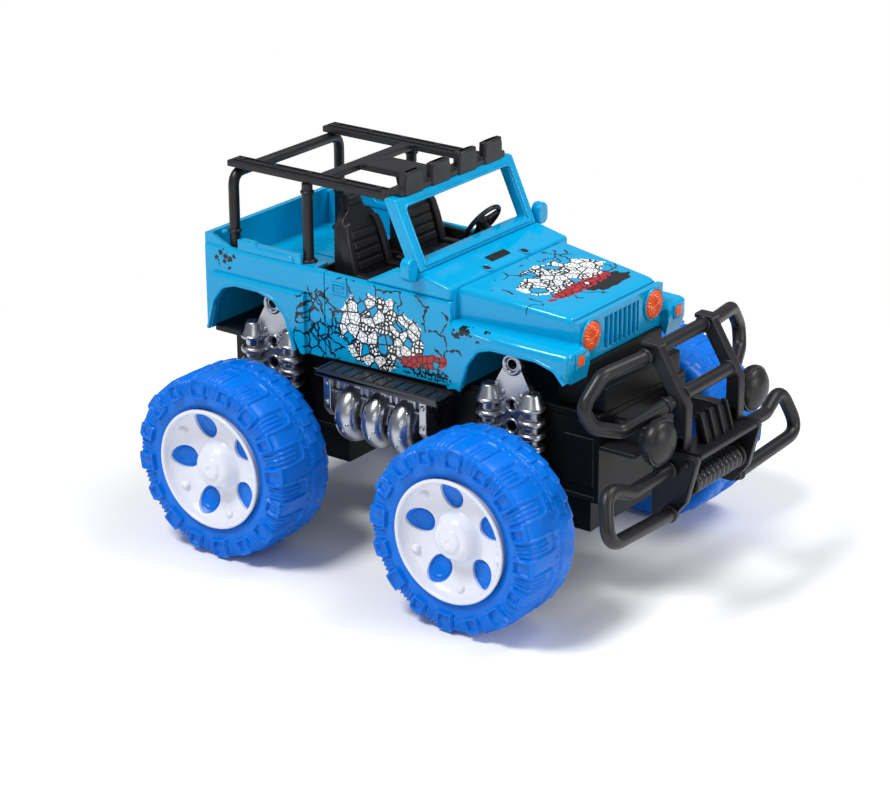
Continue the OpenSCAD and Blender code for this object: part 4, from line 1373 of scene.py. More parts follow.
@dataclass
class Springs:
    """A chrome tower at each wheel: stacked coil-overs, a web plate with an eye and a ribbed bracket."""

    reach: float = 6.95
    radius: float = 3.7
    rings: int = 5
    ring_pitch: float = 3.75
    eye_radius: float = 3.3
    hole_radius: float = 1.5
    holes: tuple[float, ...] = (7.8, 14.2, 20.6)

    def coil(self, x: float, y: float, low: float, high: float) -> tuple[Shape, Shape]:
        """Builds one coil-over's core and the first ring of its stack.

        Args:
            x: Its place along the toy.
            y: Its place across it.
            low: The height of its foot.
            high: The height of its top.

        Returns:
            The core with its cap, and the ring.
        """
        cap, r = high - 5.2, self.radius
        profile = [(r - 0.4, low), (r - 0.4, low + 0.8), (r - 1.3, low + 1.0), (r - 1.3, cap - 0.3),
            (r - 0.5, cap - 0.1), (r + 0.1, cap + 0.3), (r + 0.1, cap + 0.9), (r - 0.15, cap + 1.1),
            (r - 0.35, cap + 1.5), (r - 1.3, cap + 4.7), (r - 1.5, cap + 5.0), (r - 1.8, cap + 5.15),
            (0.6, cap + 5.2), (0.3, cap + 5.0)]
        core = Shape().lathe(profile, (x, y, 0), UP, 36)
        return core, Shape().ring((x, y, low + 2.4), UP, r - 1.0, (1.25, 1.15), 36)

    def tower(self, x: float, low: Vector, high: Vector) -> tuple[Shape, Shape]:
        """Builds a tower on the left side.

        Args:
            x: The tower's middle.
            low: The CAD tower's low corner.
            high: Its high corner.

        Returns:
            The tower without its rings, and the first ring of each stack.
        """
        y, top, eye_z = high.y - self.radius, high.z - 9.6, high.z - 3.1
        back, face = y - 2.5, y - 0.6
        body, rings = Shape(), Shape()
        for dx in (-self.reach, self.reach):
            core, ring = self.coil(x + dx, y, low.z, top)
            body.join(core)
            rings.join(ring)
        arc = np.linspace(-0.4, pi + 0.4, 19)
        eye = [(x + self.eye_radius * cos(t), eye_z + self.eye_radius * sin(t)) for t in arc]
        left, right = x - self.reach, x + self.reach
        outline = [(left, low.z + 1), (right, low.z + 1), (right, top - 2), *eye, (left, top - 2)]
        levels = [low.z + z for z in self.holes]
        turns = np.linspace(0, 2 * pi, 20, endpoint=False)
        circle = [(self.hole_radius * cos(t), self.hole_radius * sin(t)) for t in turns]
        body.plate(outline, [[(x + a, z + b) for a, b in circle] for z in (*levels, eye_z)], back, face)
        body.ring((x, face, eye_z), OUT, self.eye_radius - 0.75, (0.75, 0.7), 36)
        for z in levels:
            body.ring((x, face, z), OUT, 2.05, (0.45, 0.4), 28)
            for dx in (-3.1, 3.1):
                body.lathe([(0.75, -0.2), (0.7, 0.35), (0.4, 0.6), (0, 0.65)], (x + dx, face, z + 3.2), OUT,
                    16)
        foot = low.y + 0.1
        for dx in (-4.4, -2.2, 0, 2.2, 4.4):
            body.brick((x + dx - 0.5, foot, top - 7.4), (x + dx + 0.5, back + 0.2, top - 1.2))
        for z0, z1 in ((8.2, 6.8), (1.6, 0.4)):
            body.brick((x - 5.2, foot, top - z0), (x + 5.2, back + 0.2, top - z1))
        return body, rings

    def build(self) -> None:
        """Adds the four towers and their rings."""
        for end, _ in ENDS:
            low, high = local(f"{end}_left_springs")
            body, rings = self.tower((low.x + high.x) / 2, low, high)
            node = f"{end}_{{}}_springs"
            pair(f"{node}_tower", body, PLATED.edged(0.16), node)
            pair(f"{node}_rings", rings, PLATED.edged(0), count=self.rings, step=(0, 0, self.ring_pitch))


@dataclass
class SideUnits:
    """The chrome block at each side with its ribbed face and three header pipes, and the running board."""

    pipes: int = 3
    pipe_radius: float = 3.7
    flange: float = 2.5
    ribs: int = 15
    board_ribs: int = 11
    rim: float = 0.9

    def pipe(self, x: float, out: float, low: float) -> Shape:
        """Builds one header pipe with its collar, feeder tubes and studs.

        Args:
            x: Its place along the toy.
            out: How far out the side unit reaches.
            low: The block's lower edge.

        Returns:
            The pipe.
        """
        bend = ((-8.2, 9.2), (-4.4, 7.0), (-0.9, 3.6), (-0.1, 0.2), (-1.7, -2.9), (-4.8, -4.3),
            (-7.8, -3.4), (-9.4, -0.6))
        path = smooth_path([(x, out + dy, low + dz) for dy, dz in bend], 6)
        last = len(path) - 1
        swell = [self.pipe_radius * (0.86 + 0.2 * sin(pi * k / last)) for k in range(len(path))]
        pipe = Shape().tube(path, swell, 32)
        pipe.ring(path[6], path[7] - path[5], self.pipe_radius - 0.1, (0.5, 0.5), 32)
        for dx in (-1.5, 0.9):
            feeder = [(x + dx, out + dy, low + dz) for dy, dz in ((-3.6, 10.6), (-2.4, 8.8), (-2.2, 5))]
            pipe.tube(feeder, 0.85, 14)
        for dx, dz in ((-2.0, 0.6), (1.9, -0.6), (0.4, -2.6)):
            pipe.lathe([(0.6, -1.6), (0.6, 0.1), (0.4, 0.45), (0, 0.55)], (x + dx, out + 2.9, low + dz),
                OUT, 14)
        return pipe

    def clamp(self, x: float, out: float, low: float) -> Shape:
        """Builds the cut clamp on a header pipe.

        Args:
            x: The pipe's place along the toy.
            out: How far out the side unit reaches.
            low: The block's lower edge.

        Returns:
            The clamp.
        """
        plates = (([(-2.9, 3.6), (-2.0, 6.8), (0.4, 8.2), (2.7, 6.8), (3.0, 3.4), (0.2, 1.8)], 0.0),
            ([(-2.3, 3.9), (-1.6, 6.3), (0.0, 7.2), (-0.2, 2.9)], 0.6),
            ([(0.7, 7.0), (2.1, 6.2), (2.3, 3.8), (0.6, 2.8)], 0.5))
        clamp = Shape()
        for outline, proud in plates:
            plate = Shape().prism([(x + p, low + q) for p, q in outline], 0, 1)
            for corner in plate.corners:
                surface = out + 3.5 - 0.62 * (corner[2] - low - 1.8)
                corner[1] = surface + proud if corner[1] else surface - 3
            clamp.join(plate)
        return clamp

    def block(self, low: Vector, high: Vector, bottom: float) -> Shape:
        """Builds the block with its flanges and bolts.

        Args:
            low: The CAD unit's low corner.
            high: Its high corner.
            bottom: The block's lower edge.

        Returns:
            The block.
        """
        x0, x1, face, top = low.x + self.flange, high.x - self.flange, high.y - 3, high.z
        block = Shape().brick((x0 - 0.5, low.y, bottom), (x1 + 0.5, face, top))
        block.brick((x0, face - 0.5, top - 2.2), (x1, face + 1.4, top - 0.4))
        ledge = [(-0.3, 5.0), (1.2, 5.6), (1.2, 6.4), (-0.3, 6.8)]
        block.prism([(face + p, top - q) for p, q in ledge], x0, x1, 0)
        side = [(low.y, bottom - 1.5), (high.y - 2.5, bottom - 1.5), (high.y, bottom + 1.5),
            (high.y, top - 0.2), (low.y, top - 0.2)]
        for x in (low.x, x1):
            block.prism(side, x, x + self.flange, 0)
            for z in (bottom + 3.4, top - 3.2):
                bolt = [(0.95, -0.2), (0.9, 0.3), (0.5, 0.55), (0, 0.6)]
                block.lathe(bolt, (x + self.flange / 2, high.y, z), OUT, 6)
        return block

    def build(self) -> None:
        """Adds both side units and both running boards."""
        low, high = local("left_side_unit")
        high = Vector((high.x, low.y + 13, high.z))
        bottom, face = high.z - 12.5, high.y - 3
        span = high.x - low.x - 2 * self.flange
        pitch = (span - 3) / self.pipes
        first = low.x + self.flange + 1.5 + pitch / 2
        pair("{}_side_unit_block", self.block(low, high, bottom), PLATED, "{}_side_unit")
        across: dict[str, Any] = {"count": self.pipes, "step": (pitch, 0, 0)}
        pair("{}_header_pipes", self.pipe(first, high.y, bottom), Look(CHROME, Slot.CHROME, sharp=50),
            **across)
        pair("{}_header_clamps", self.clamp(first, high.y, bottom), PLATED.edged(0.45), **across)
        rib = Shape().prism([(face + p, high.z - q) for p, q in ((-0.2, 2.4), (0.9, 2.4), (0.9, 5.2),
            (-0.2, 5.6))], low.x + self.flange + 0.6, low.x + self.flange + 1.6, 0)
        step = ((span - 2.2) / (self.ribs - 1), 0, 0)
        pair("{}_side_unit_ribs", rib, PLATED.edged(0.2), count=self.ribs, step=step)
        self.board()

    def board(self) -> None:
        """Adds the running boards: a plate with a rim and slats across it."""
        low, high = local("left_running_board")
        plate = Shape().brick((low.x, low.y, low.z), (high.x, high.y, high.z - 0.6))
        plate.brick((low.x, high.y - self.rim, low.z - 0.7), (high.x, high.y, high.z))
        for x in (low.x, high.x - self.rim):
            plate.brick((x, 29.7, low.z), (x + self.rim, high.y, high.z))
        pair("{}_board_plate", plate, BOARD, "{}_running_board")
        step = (high.x - low.x - 2.2) / self.board_ribs
        rib = Shape().brick((low.x + 1.3, 30.2, high.z - 0.8), (low.x + 0.8 + step, high.y - 1.4,
            high.z - 0.15))
        pair("{}_board_ribs", rib, BOARD, count=self.board_ribs, step=(step, 0, 0))


@dataclass
class Underbody:
    """The black tub, deck, axle boxes and nose block, with their screws, ribs, panels and hatch."""

    screw: float = 1.9
    screw_x: float = 13.0
    screw_y: float = 13.5

    def head(self, x: float, y: float, z: float) -> Shape:
        """Returns a screw head that looks down from a point, with a raised cross.

        Args:
            x: Its place along the toy.
            y: Its place across it.
            z: The height of the face it sits on.

        Returns:
            The head.
        """
        r = self.screw
        head = Shape().lathe([(r, -0.1), (r, 0.35), (r - 0.6, 0.75), (0.95, 0.85)], (x, y, z), (0, 0, -1),
            24)
        for dx, dy in ((1.0, 0.22), (0.22, 1.0)):
            head.brick((x - dx, y - dy, z - 0.62), (x + dx, y + dy, z - 0.9))
        return head

    def build(self) -> None:
        """Adds the black pieces under the shell."""
        for node in ("chassis", "chassis_deck", "nose_block", "front_axle_box", "rear_axle_box"):
            place(f"{node}_look", node_shape(node), HULL, replaces=[node])
        for node, finish in (("front_axle", STEEL), ("rear_axle", STEEL), ("friction_motor", MOTOR_ZINC)):
            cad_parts[node].data.materials.clear()
            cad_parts[node].data.materials.append(finish.build())
        low = local("rear_axle_box")[0]
        for name, axle in ENDS:
            first = self.head(axle - self.screw_x, -self.screw_y, low.z)
            row(f"{name}_box_screws_right", first, SCREW, 2, (2 * self.screw_x, 0, 0))
            row(f"{name}_box_screws_left", first.moved((0, 2 * self.screw_y, 0)), SCREW, 2,
                (2 * self.screw_x, 0, 0))
            bar = Shape().brick((axle - 9, -8.7, low.z - 0.8), (axle + 9, -7.3, low.z + 0.3))
            row(f"{name}_box_ribs", bar, HULL, 5, (0, 4, 0))
        floor = local("chassis")[0].z
        row("floor_ribs", Shape().brick((25, -12.7, floor - 0.7), (26.2, 12.7, floor + 0.4)), HULL, 8,
            (4.9, 0, 0))
        row("floor_rails", Shape().brick((22.5, -17, floor - 0.9), (62.5, -15.8, floor + 0.4)), HULL, 2,
            (0, 32.8, 0))
        self.sides()
        self.back()

    def sides(self) -> None:
        """Adds the ribs, the rail and the stepped panel on each side of the tub."""
        low, high = local("chassis")
        face = high.y - 0.3
        rib = Shape().brick((66.5, face, low.z + 2.4), (67.7, high.y + 0.7, high.z - 4))
        pair("{}_tub_ribs", rib, HULL, count=3, step=(3.2, 0, 0))
        pair("{}_tub_rail", Shape().brick((low.x + 1, face, low.z + 0.6),
            (high.x - 1, high.y + 0.6, low.z + 2.0)), HULL)
        pair("{}_tub_panel", Shape().brick((96.5, face, low.z + 4.5), (106.5, high.y + 0.5, high.z - 5)),
            HULL)

    def back(self) -> None:
        """Adds the ribbed hatch and the screws on the back."""
        low, high = local("chassis")
        hatch = Shape().brick((low.x - 0.5, low.y + 6, low.z + 5), (low.x + 0.3, high.y - 6, high.z - 7))
        place("rear_tub_hatch", hatch, Look(CHASSIS_ABS, Slot.BLACK, 0.25))
        bar = Shape().brick((low.x - 1.2, low.y + 9, low.z + 7.5),
            (low.x - 0.2, low.y + 10.4, high.z - 9.5))
        count = 10
        row("rear_tub_ribs", bar, HULL, count, (0, (high.y - low.y - 19.4) / (count - 1), 0))
        box_low, box_high = local("rear_axle_box")
        head = self.head(0, 0, 0).turned(OUT, 90).moved((box_low.x, box_low.y + 4, box_low.z + 5))
        row("rear_box_back_screws", head, SCREW, 2, (0, box_high.y - box_low.y - 8, 0))


# ---------------------------------------------------------------- body shell


@dataclass
class BodyShell:
    """The blue shell's mouldings with their lips, seams, vents, latches and rear panel."""

    slots: int = 8
    slot_pitch: float = 2.3
    lip: float = 0.62
    bezel: float = 4.5
    vent: tuple[float, float, float] = (57.0, 59.8, 4.5)
    jet: tuple[float, float] = (61.2, 9.2)

    def build(self) -> None:
        """Adds the shell and its small pieces."""
        anywhere = (-200.0, 200.0)
        fender = local("front_fenders")[1]
        nose = local("bonnet")[1].x
        tail = local("load_bed")[0].x
        belt = local("left_door")[1]
        at_belt = (belt.y - 0.05, belt.y + 0.05)
        at_flare = (fender.y - 0.05, fender.y + 0.05)
        front = (fender.x - 2.1, 200.0)
        side_edge = (anywhere, at_belt, (belt.z - 0.05, belt.z + 0.05))
        softened: dict[str, tuple[float, list[Zone]]] = {
            "load_bed": (0.9, [side_edge, (anywhere, at_flare, (74, 76)),
                               ((tail - 0.1, tail + 0.1), anywhere, (50, belt.z + 0.05))]),
            "left_door": (0.9, [side_edge]),
            "right_door": (0.9, [side_edge]),
            "cowl": (1.0, [(anywhere, at_belt, (belt.z - 0.05, 90))]),
            "bonnet": (1.8, [(anywhere, (19, 26), (82, 88)), ((nose - 2.1, 200), (0, 30), (80, 88))]),
            "front_fenders": (2.4, [(anywhere, at_flare, (75, 78)), (front, at_flare, (55, 78)),
                                    (front, (19, 40), (74, 78))]),
        }
        for node, (width, zones) in softened.items():
            shape = node_shape(node, whole=node != "front_fenders")
            soften(place(f"{node}_look", shape, SHELL_LOOK, replaces=[node]), width, zones)
        self.windscreen()
        self.mirrors()
        self.nose()
        self.sides()
        self.rear()
        self.top()

    def windscreen(self) -> None:
        """Adds the frame with a moulded lip round its opening."""
        node = "windscreen_frame"
        place("windscreen_look", node_shape(node), PLAIN.edged(0.7), replaces=[node])
        low, high = local(node)
        lean = (high.x - 4 - low.x) / (high.z - low.z)
        half, foot, top = 25.2, low.z + 1.4, high.z - 2.1
        corners = ((half, foot), (half, top), (-half, top), (-half, foot))
        path = [(high.x - (z - low.z) * lean, y, z) for y, z in corners]
        lip = Shape().tube(filleted(path, 2.2), 0.45, 12).tube([path[3], path[0]], 0.45, 12)
        place("windscreen_lip", lip, PLAIN)

    def mirrors(self) -> None:
        """Adds the door mirrors with their glass."""
        low, high = local("left_mirror")
        x, y, z = low.x, low.y, high.z - 3.3
        outline = [(1.2, -3.1), (3.6, -3.3), (4.9, -2.2), (5.1, 0), (4.8, 2.2), (3.6, 3.3), (1.6, 3.3),
            (0.5, 2.2), (0.3, 0), (0.4, -2.2)]
        head = Shape().prism([(y + p, z + q) for p, q in outline], x - 0.2, x + 3.0, 0)
        head.prism([(y, z - 4.4), (y + 2.4, z - 4.0), (y + 2.4, z - 2.0), (y, z - 2.4)], x + 0.2, x + 2.3,
            0)
        pair("{}_mirror_head", head, PLAIN.edged(1.0), "{}_mirror")
        glass = Shape().brick((x - 0.4, y + 1.3, z - 2.1), (x + 0.3, y + 4.0, z + 2.2))
        pair("{}_mirror_glass", glass, PLATED.edged(0.2))

    def nose(self) -> None:
        """Adds the ribs between the grille slots, and the lamps' bezels."""
        x, z = local("headlamps")[0].x, local("headlamps")[0].z - 3.0
        first = -(self.slots - 1) / 2 * self.slot_pitch
        rib = Shape().brick((x - 0.4, first + 0.72, z + 1.2), (x + 0.35, first + 1.58, z + 10.8))
        row("grille_ribs", rib, PLAIN.edged(0.3), self.slots - 1, (0, self.slot_pitch, 0))
        ring = Shape().ring((x + 0.2, 15.8, z + 7.3), AHEAD, self.bezel, (0.32, 0.45), 48)
        pair("{}_headlamp_bezel", ring, PLAIN)

    def sides(self) -> None:
        """Adds the arch lips and the door handles."""
        sill = local("left_door")[0].z
        top = sill + 15.9
        flare = local("front_fenders")[1].y - 0.35
        arches = {
            "rear": [(-24.6, sill + 0.4), (-22.2, top - 6.3), (-18.5, top - 1.4), (-14, top), (-5, top),
                     (1, top - 1.6), (5, top - 5.8), (8.2, sill + 0.4)],
            "front": [(-18.2, sill + 1.4), (-15.5, top - 6.3), (-12, top - 1.4), (-7.5, top), (7.5, top),
                      (13.5, top - 1.6), (16.8, top - 5.1)],
        }
        for end, axle in ENDS:
            path = filleted([(axle + x, flare, z) for x, z in arches[end]], 3.5)
            pair(f"{{}}_{end}_arch_lip", Shape().tube(path, self.lip, 14), PLAIN)
        y = local("left_door")[1].y
        cup = Shape().plate([(21.2, 76.6), (27.0, 76.6), (27.0, 80.2), (21.2, 80.2)],
            [[(22.0, 77.3), (26.2, 77.3), (26.2, 79.5), (22.0, 79.5)]], y - 0.1, y + 0.4)
        pair("{}_handle_frame", cup, PLAIN.edged(0.15))
        pair("{}_handle_bar", Shape().brick((22.3, y - 0.1, 78.7), (25.9, y + 0.45, 79.3)),
            PLAIN.edged(0.15))

    def rear(self) -> None:
        """Adds the tailgate's panel, ribs, latch, hinges and lamps, and the bed's rims and floor ribs."""
        low, high = local("load_bed")
        x, face = low.x, low.x + 0.3
        panel = Shape()
        for y0, y1, z0, z1 in ((-20, 20, 61, 62.4), (-20, 20, 79.6, 81), (-20, -18.6, 61, 81),
                (18.6, 20, 61, 81)):
            panel.brick((x - 0.5, y0, z0), (face, y1, z1))
        place("tailgate_frame", panel, PLAIN.edged(0.3))
        rib = Shape().brick((x - 0.45, -13.5, 64.5), (face, -11.9, 77.5))
        row("tailgate_ribs", rib, PLAIN.edged(0.3), 7, (0, 4.23, 0))
        place("tailgate_latch", Shape().brick((x - 1.0, -3.2, 81.4), (face, 3.2, 83.6)), TRIM)
        pair("{}_tail_lamp_body", Shape().brick((x - 0.9, 21.8, 66), (face, 26.4, 75)), PLAIN.edged(0.4))
        pair("{}_tail_lamp_lens", Shape().brick((x - 1.15, 22.6, 66.8), (x - 0.6, 25.6, 74.2)),
            Look(LAMP_PAINT, Slot.ORANGE, 0.25))
        pair("{}_tailgate_hinge", Shape().tube([(x - 0.5, 14, 60.2), (x - 0.5, 18, 60.2)], 0.9, 16), PLAIN)
        rivet = Shape().lathe([(1.0, -0.1), (0.9, 0.35), (0.5, 0.6), (0, 0.65)], (-22, 24.6, high.z), UP,
            20)
        pair("{}_bed_rivet", rivet, PLAIN)
        rim = [(-13.8, 82.3), (7.0, 82.3), (7.0, 83.8), (5.5, 84.6), (-6, 84.6), (-7.5, 86.1),
            (-12.6, 86.1), (-13.8, 85.0)]
        pair("{}_bed_rim", Shape().prism(rim, 26.7, 28.75), PLAIN.edged(0.6))
        floor = low.z + 18.7
        strip = Shape().brick((-13.6, -20.4, floor - 0.2), (5.0, -18.8, floor + 0.35))
        row("bed_floor_ribs", strip, PLAIN.edged(0.2), 7, (0, 6.53, 0))

    def top(self) -> None:
        """Adds the cowl's vent and the washer jets, with painted shade under the vent's slats and in each
        jet's recess.
        """
        high, start = local("cowl")[1], local("windscreen_frame")[1].x
        lean = (high.z - local("bonnet")[1].z) / (high.x - start)
        rear, front, half = self.vent

        def roof(x: float) -> float:
            """Returns the cowl's height at x."""
            return high.z - (x - start) * lean

        def strip(inset: float, sink: float, rise: float, y0: float, y1: float) -> Shape:
            """Returns a strip that follows the cowl's slope over the vent's length, less an inset.

            Args:
                inset: How far it stops short at each end.
                sink: Its depth below the slope.
                rise: Its height above it.
                y0: Its first side.
                y1: Its other side.

            Returns:
                The strip.
            """
            x0, x1, z0, z1 = rear + inset, front - inset, roof(rear), roof(front)
            return Shape().prism([(x0, z0 - sink), (x1, z1 - sink), (x1, z1 + rise), (x0, z0 + rise)], y0,
                y1)

        # Painted shade: a matt near-black strip under the slats stands in for the shade deep in the vent
        place("cowl_vent_painted_shade", strip(0, 0.3, 0.12, -half, half), PAINTED_SHADE)
        slat = strip(0.2, 0.2, 0.4, 0.1 - half, 0.5 - half)
        row("cowl_vent_slats", slat, TRIM.edged(0.1), 8, (0, 1.2, 0))
        x, y = self.jet
        z = roof(x) - 0.05
        cup = Shape().lathe([(1.5, -0.2), (1.5, 0.12), (1.2, 0.16)], (x, y, z), (lean, 0, 1), 24)
        # Painted shade: a matt near-black disc under each jet's ring stands in for the shade in its recess
        pair("{}_washer_recess", cup, PAINTED_SHADE)
        pair("{}_washer_jet", Shape().ring((x, y, z + 0.1), (lean, 0, 1), 1.5, (0.3, 0.25), 24), PLAIN)


@dataclass
class Lamps:
    """The orange headlamps with their cut facets, and the turn signals."""

    radius: float = 4.3
    spokes: int = 44
    rings: int = 12
    dome: float = 1.2
    cut: float = 0.09

    def lens(self, x: float, y: float, z: float) -> Shape:
        """Builds a domed lens of small facets.

        Args:
            x: Where its back lies.
            y: Its middle across the toy.
            z: Its middle's height.

        Returns:
            The lens.
        """
        corners = [(x + self.dome + 0.2, y, z)]
        n = self.spokes
        for ring in range(1, self.rings + 1):
            share = ring / self.rings
            reach = self.radius * share
            for i in range(n):
                turn = 2 * pi * (i + 0.5 * (ring % 2)) / n
                bump = self.cut * (-1) ** (i + ring) if 1 < ring < self.rings else 0.0
                out = x + 0.3 + self.dome * sqrt(max(0.0, 1 - share**2)) + bump
                corners.append((out, y + reach * cos(turn), z + reach * sin(turn)))
        faces = [[0, 1 + i, 1 + (i + 1) % n] for i in range(n)]
        for ring in range(self.rings - 1):
            a, b = 1 + ring * n, 1 + (ring + 1) * n
            for i in range(n):
                j = (i + 1) % n
                if ring % 2 == 0:
                    faces += [[a + i, b + i, b + j], [a + i, b + j, a + j]]
                else:
                    faces += [[a + i, b + i, a + j], [a + j, b + i, b + j]]
        faces.append([1 + (self.rings - 1) * n + i for i in range(n)][::-1])
        return Shape().add(corners, faces)

    def build(self) -> None:
        """Adds the lamps."""
        low, high = local("headlamps")
        lens = self.lens(low.x, high.y - self.radius, (low.z + high.z) / 2)
        pair("{}_headlamp_lens", lens, LENS, "headlamps")
        low, high = local("turn_signals")
        y0, y1 = high.y - 3, high.y
        signal = Shape().brick((low.x - 0.2, y0, low.z), (high.x, y1, high.z))
        pair("{}_turn_signal_lens", signal, Look(LAMP_PAINT, Slot.ORANGE, 0.3), "turn_signals")

        def frame_of(grow: float) -> list[tuple[float, float]]:
            """Returns the signal's outline, grown on all sides."""
            return [(y0 - grow, low.z - grow), (y1 + grow, low.z - grow), (y1 + grow, high.z + grow),
                (y0 - grow, high.z + grow)]

        rim = Shape().plate(frame_of(0.7), [frame_of(0)], -low.x - 0.35, 0.2 - low.x).turned(UP, 90)
        pair("{}_turn_signal_rim", rim, PLAIN.edged(0.15))


# ---------------------------------------------------------------- cabin and cage


@dataclass
class Cabin:
    """The black tray with its dashboard, two bolstered seats, the steering wheel and the lever."""

    back_lean: float = 6.4
    roll_pitch: float = 2.75
    rim: float = 6.3
    tilt: float = -55.0
    wheel_x: float = 43.8
    wheel_z: float = 90.8

    def seat(self, low: Vector, high: Vector) -> tuple[Shape, Shape, Shape, Point]:
        """Builds the left seat: shell with a headrest, bolsters and cushion, and the back's first roll.

        Args:
            low: The CAD seat's low corner.
            high: Its high corner.

        Returns:
            The shell, the pads, the first roll and the step to the next one.
        """
        x, y, foot, top = low.x, (low.y + high.y) / 2, low.z + 3, high.z
        half, rise = (high.y - low.y) / 2, high.z - foot

        def back(z: float, out: float) -> float:
            """Returns the back's front face at a height, moved out by out."""
            return x + 9.6 - (z - foot) * self.back_lean / rise + out

        def leaning(outline: Sequence[Point], inner: float, outer: float) -> Shape:
            """Returns a pad with an outline in y and z, between two depths from the back's front face.

            Args:
                outline: Its points across and up.
                inner: Its rear face's distance from the back's front.
                outer: Its front face's.

            Returns:
                The pad.
            """
            pad = Shape().prism([(y + p, foot + q) for p, q in outline], 0, 1, 0)
            for corner in pad.corners:
                corner[0] = back(corner[2], outer if corner[0] else inner)
            return pad

        shell = leaning([(-half, -1.5), (half, -1.5), (half, 7), (half - 0.5, 11), (half - 1.6, 14),
            (half - 3.2, 15.8), (3.9, 16.6), (3.4, 17.8), (3.3, rise - 1.4), (2.3, rise), (-2.3, rise),
            (-3.3, rise - 1.4), (-3.4, 17.8), (-3.9, 16.6), (3.2 - half, 15.8), (1.6 - half, 14),
            (0.5 - half, 11), (-half, 7)], -3.4, -0.9)
        shell.brick((x + 1, y - half + 0.8, low.z), (x + 18, y + half - 0.8, foot - 1.2))
        shell.prism([(x + 1, low.z), (x + 8, low.z), (back(foot, -2), foot), (back(top - 8, -3), top - 8),
            (x + 1.0, top - 8)], y - half + 1.6, y + half - 1.6)
        pads = Shape()
        for side in (-1, 1):
            curve = [(half, -1.4), (half, 7), (half - 0.5, 11), (half - 1.6, 13.8), (half - 4.2, 14.2),
                (half - 3.2, 10.6), (half - 2.8, 6), (half - 2.8, -1.4)]
            pads.join(leaning([(side * p, q) for p, q in curve], -2, 0.5))
            y0, y1 = sorted((y + side * half, y + side * (half - 3.0)))
            pads.brick((x + 9.6, y0, foot - 2.2), (x + 19, y1, foot + 0.2))
        pads.brick((x + 10.6, y - half + 2.8, foot - 2.2), (x + 18.6, y + half - 2.8, foot - 0.6))
        pads.join(leaning([(-2.7, 17.6), (2.7, 17.6), (2.4, rise - 0.6), (-2.4, rise - 0.6)], -2, -0.3))
        width = half - 3.4
        roll = leaning([(-width, 0.3), (width, 0.3), (width, 2.7), (-width, 2.7)], -2, -0.15)
        return shell, pads, roll, (-self.back_lean / rise * self.roll_pitch, 0, self.roll_pitch)

    def build(self) -> None:
        """Adds the cabin."""
        place("cabin_tray_look", node_shape("cabin_tray"), TRIM, replaces=["cabin_tray"])
        shell, pads, roll, step = self.seat(*local("left_seat"))
        pair("{}_seat_shell", shell, TRIM, "{}_seat")
        pair("{}_seat_pads", pads, TRIM.edged(0.85))
        pair("{}_seat_rolls", roll, TRIM.edged(0.6), count=4, step=step)
        self.wheel()
        self.dash()

    def wheel(self) -> None:
        """Adds the steering wheel on its column."""
        low, high = local("steering_wheel")
        tilt = radians(self.tilt)
        axis = Vector((sin(tilt), 0, cos(tilt)))
        at = Vector((self.wheel_x, (low.y + high.y) / 2, self.wheel_z))
        wheel = Shape().ring(at, axis, self.rim, (0.72, 0.7), 56)
        wheel.lathe([(2.1, -0.9), (2.3, 0.2), (1.9, 0.8), (0.8, 1.0), (0, 1.05)], at, axis, 28)
        wheel.lathe([(1.2, -6.0), (1.2, -1), (1.0, 0)], at, axis, 20)
        across = Vector(OUT)
        down = axis.cross(across)
        for turn in (0, 120, 240):
            run = across * sin(radians(turn)) + down * cos(radians(turn))
            wheel.tube([at + run * 1.5, at + run * 4, at + run * 6.2], [0.95, 0.7, 0.6], 12)
        place("steering_wheel_look", wheel, TRIM_ROUND, replaces=["steering_wheel"])

    def dash(self) -> None:
        """Adds the dashboard's dials, vents and glove box, the tunnel and the gear lever."""
        low, high = local("cabin_tray")
        face, top = high.x - 8.0, high.z
        dials = Shape()
        for y in (10.6, 15.4):
            dial = [(2.2, -0.4), (2.2, 0.7), (1.8, 0.8), (1.7, 0.3), (0, 0.3)]
            dials.lathe(dial, (face, y, top - 2.2), (-1, 0, 0.25), 28)
        place("dash_dials", dials, TRIM_ROUND)
        place("dash_glove_box", Shape().brick((face - 0.5, -19, top - 5), (face + 0.3, -7.5, top - 0.6)),
            TRIM)
        vent = Shape().brick((face - 0.5, -4.4, top - 3.4), (face + 0.3, 4.4, top - 2.9))
        row("dash_vents", vent, TRIM.edged(0.12), 3, (0, 0, 0.95))
        place("tunnel", Shape().brick((24, -3, low.z + 3.1), (face, 3, low.z + 6.8)), TRIM.edged(0.8))
        knob = (36.6, 0.6, 83.2)
        lever = Shape().tube([(37, 0.6, 79.5), knob], 0.55, 12)
        lever.lathe([(0.4, -0.4), (1.1, 0.2), (1.25, 1.0), (0.9, 1.7), (0, 2.0)], knob, UP, 20)
        place("gear_lever", lever, TRIM_ROUND)


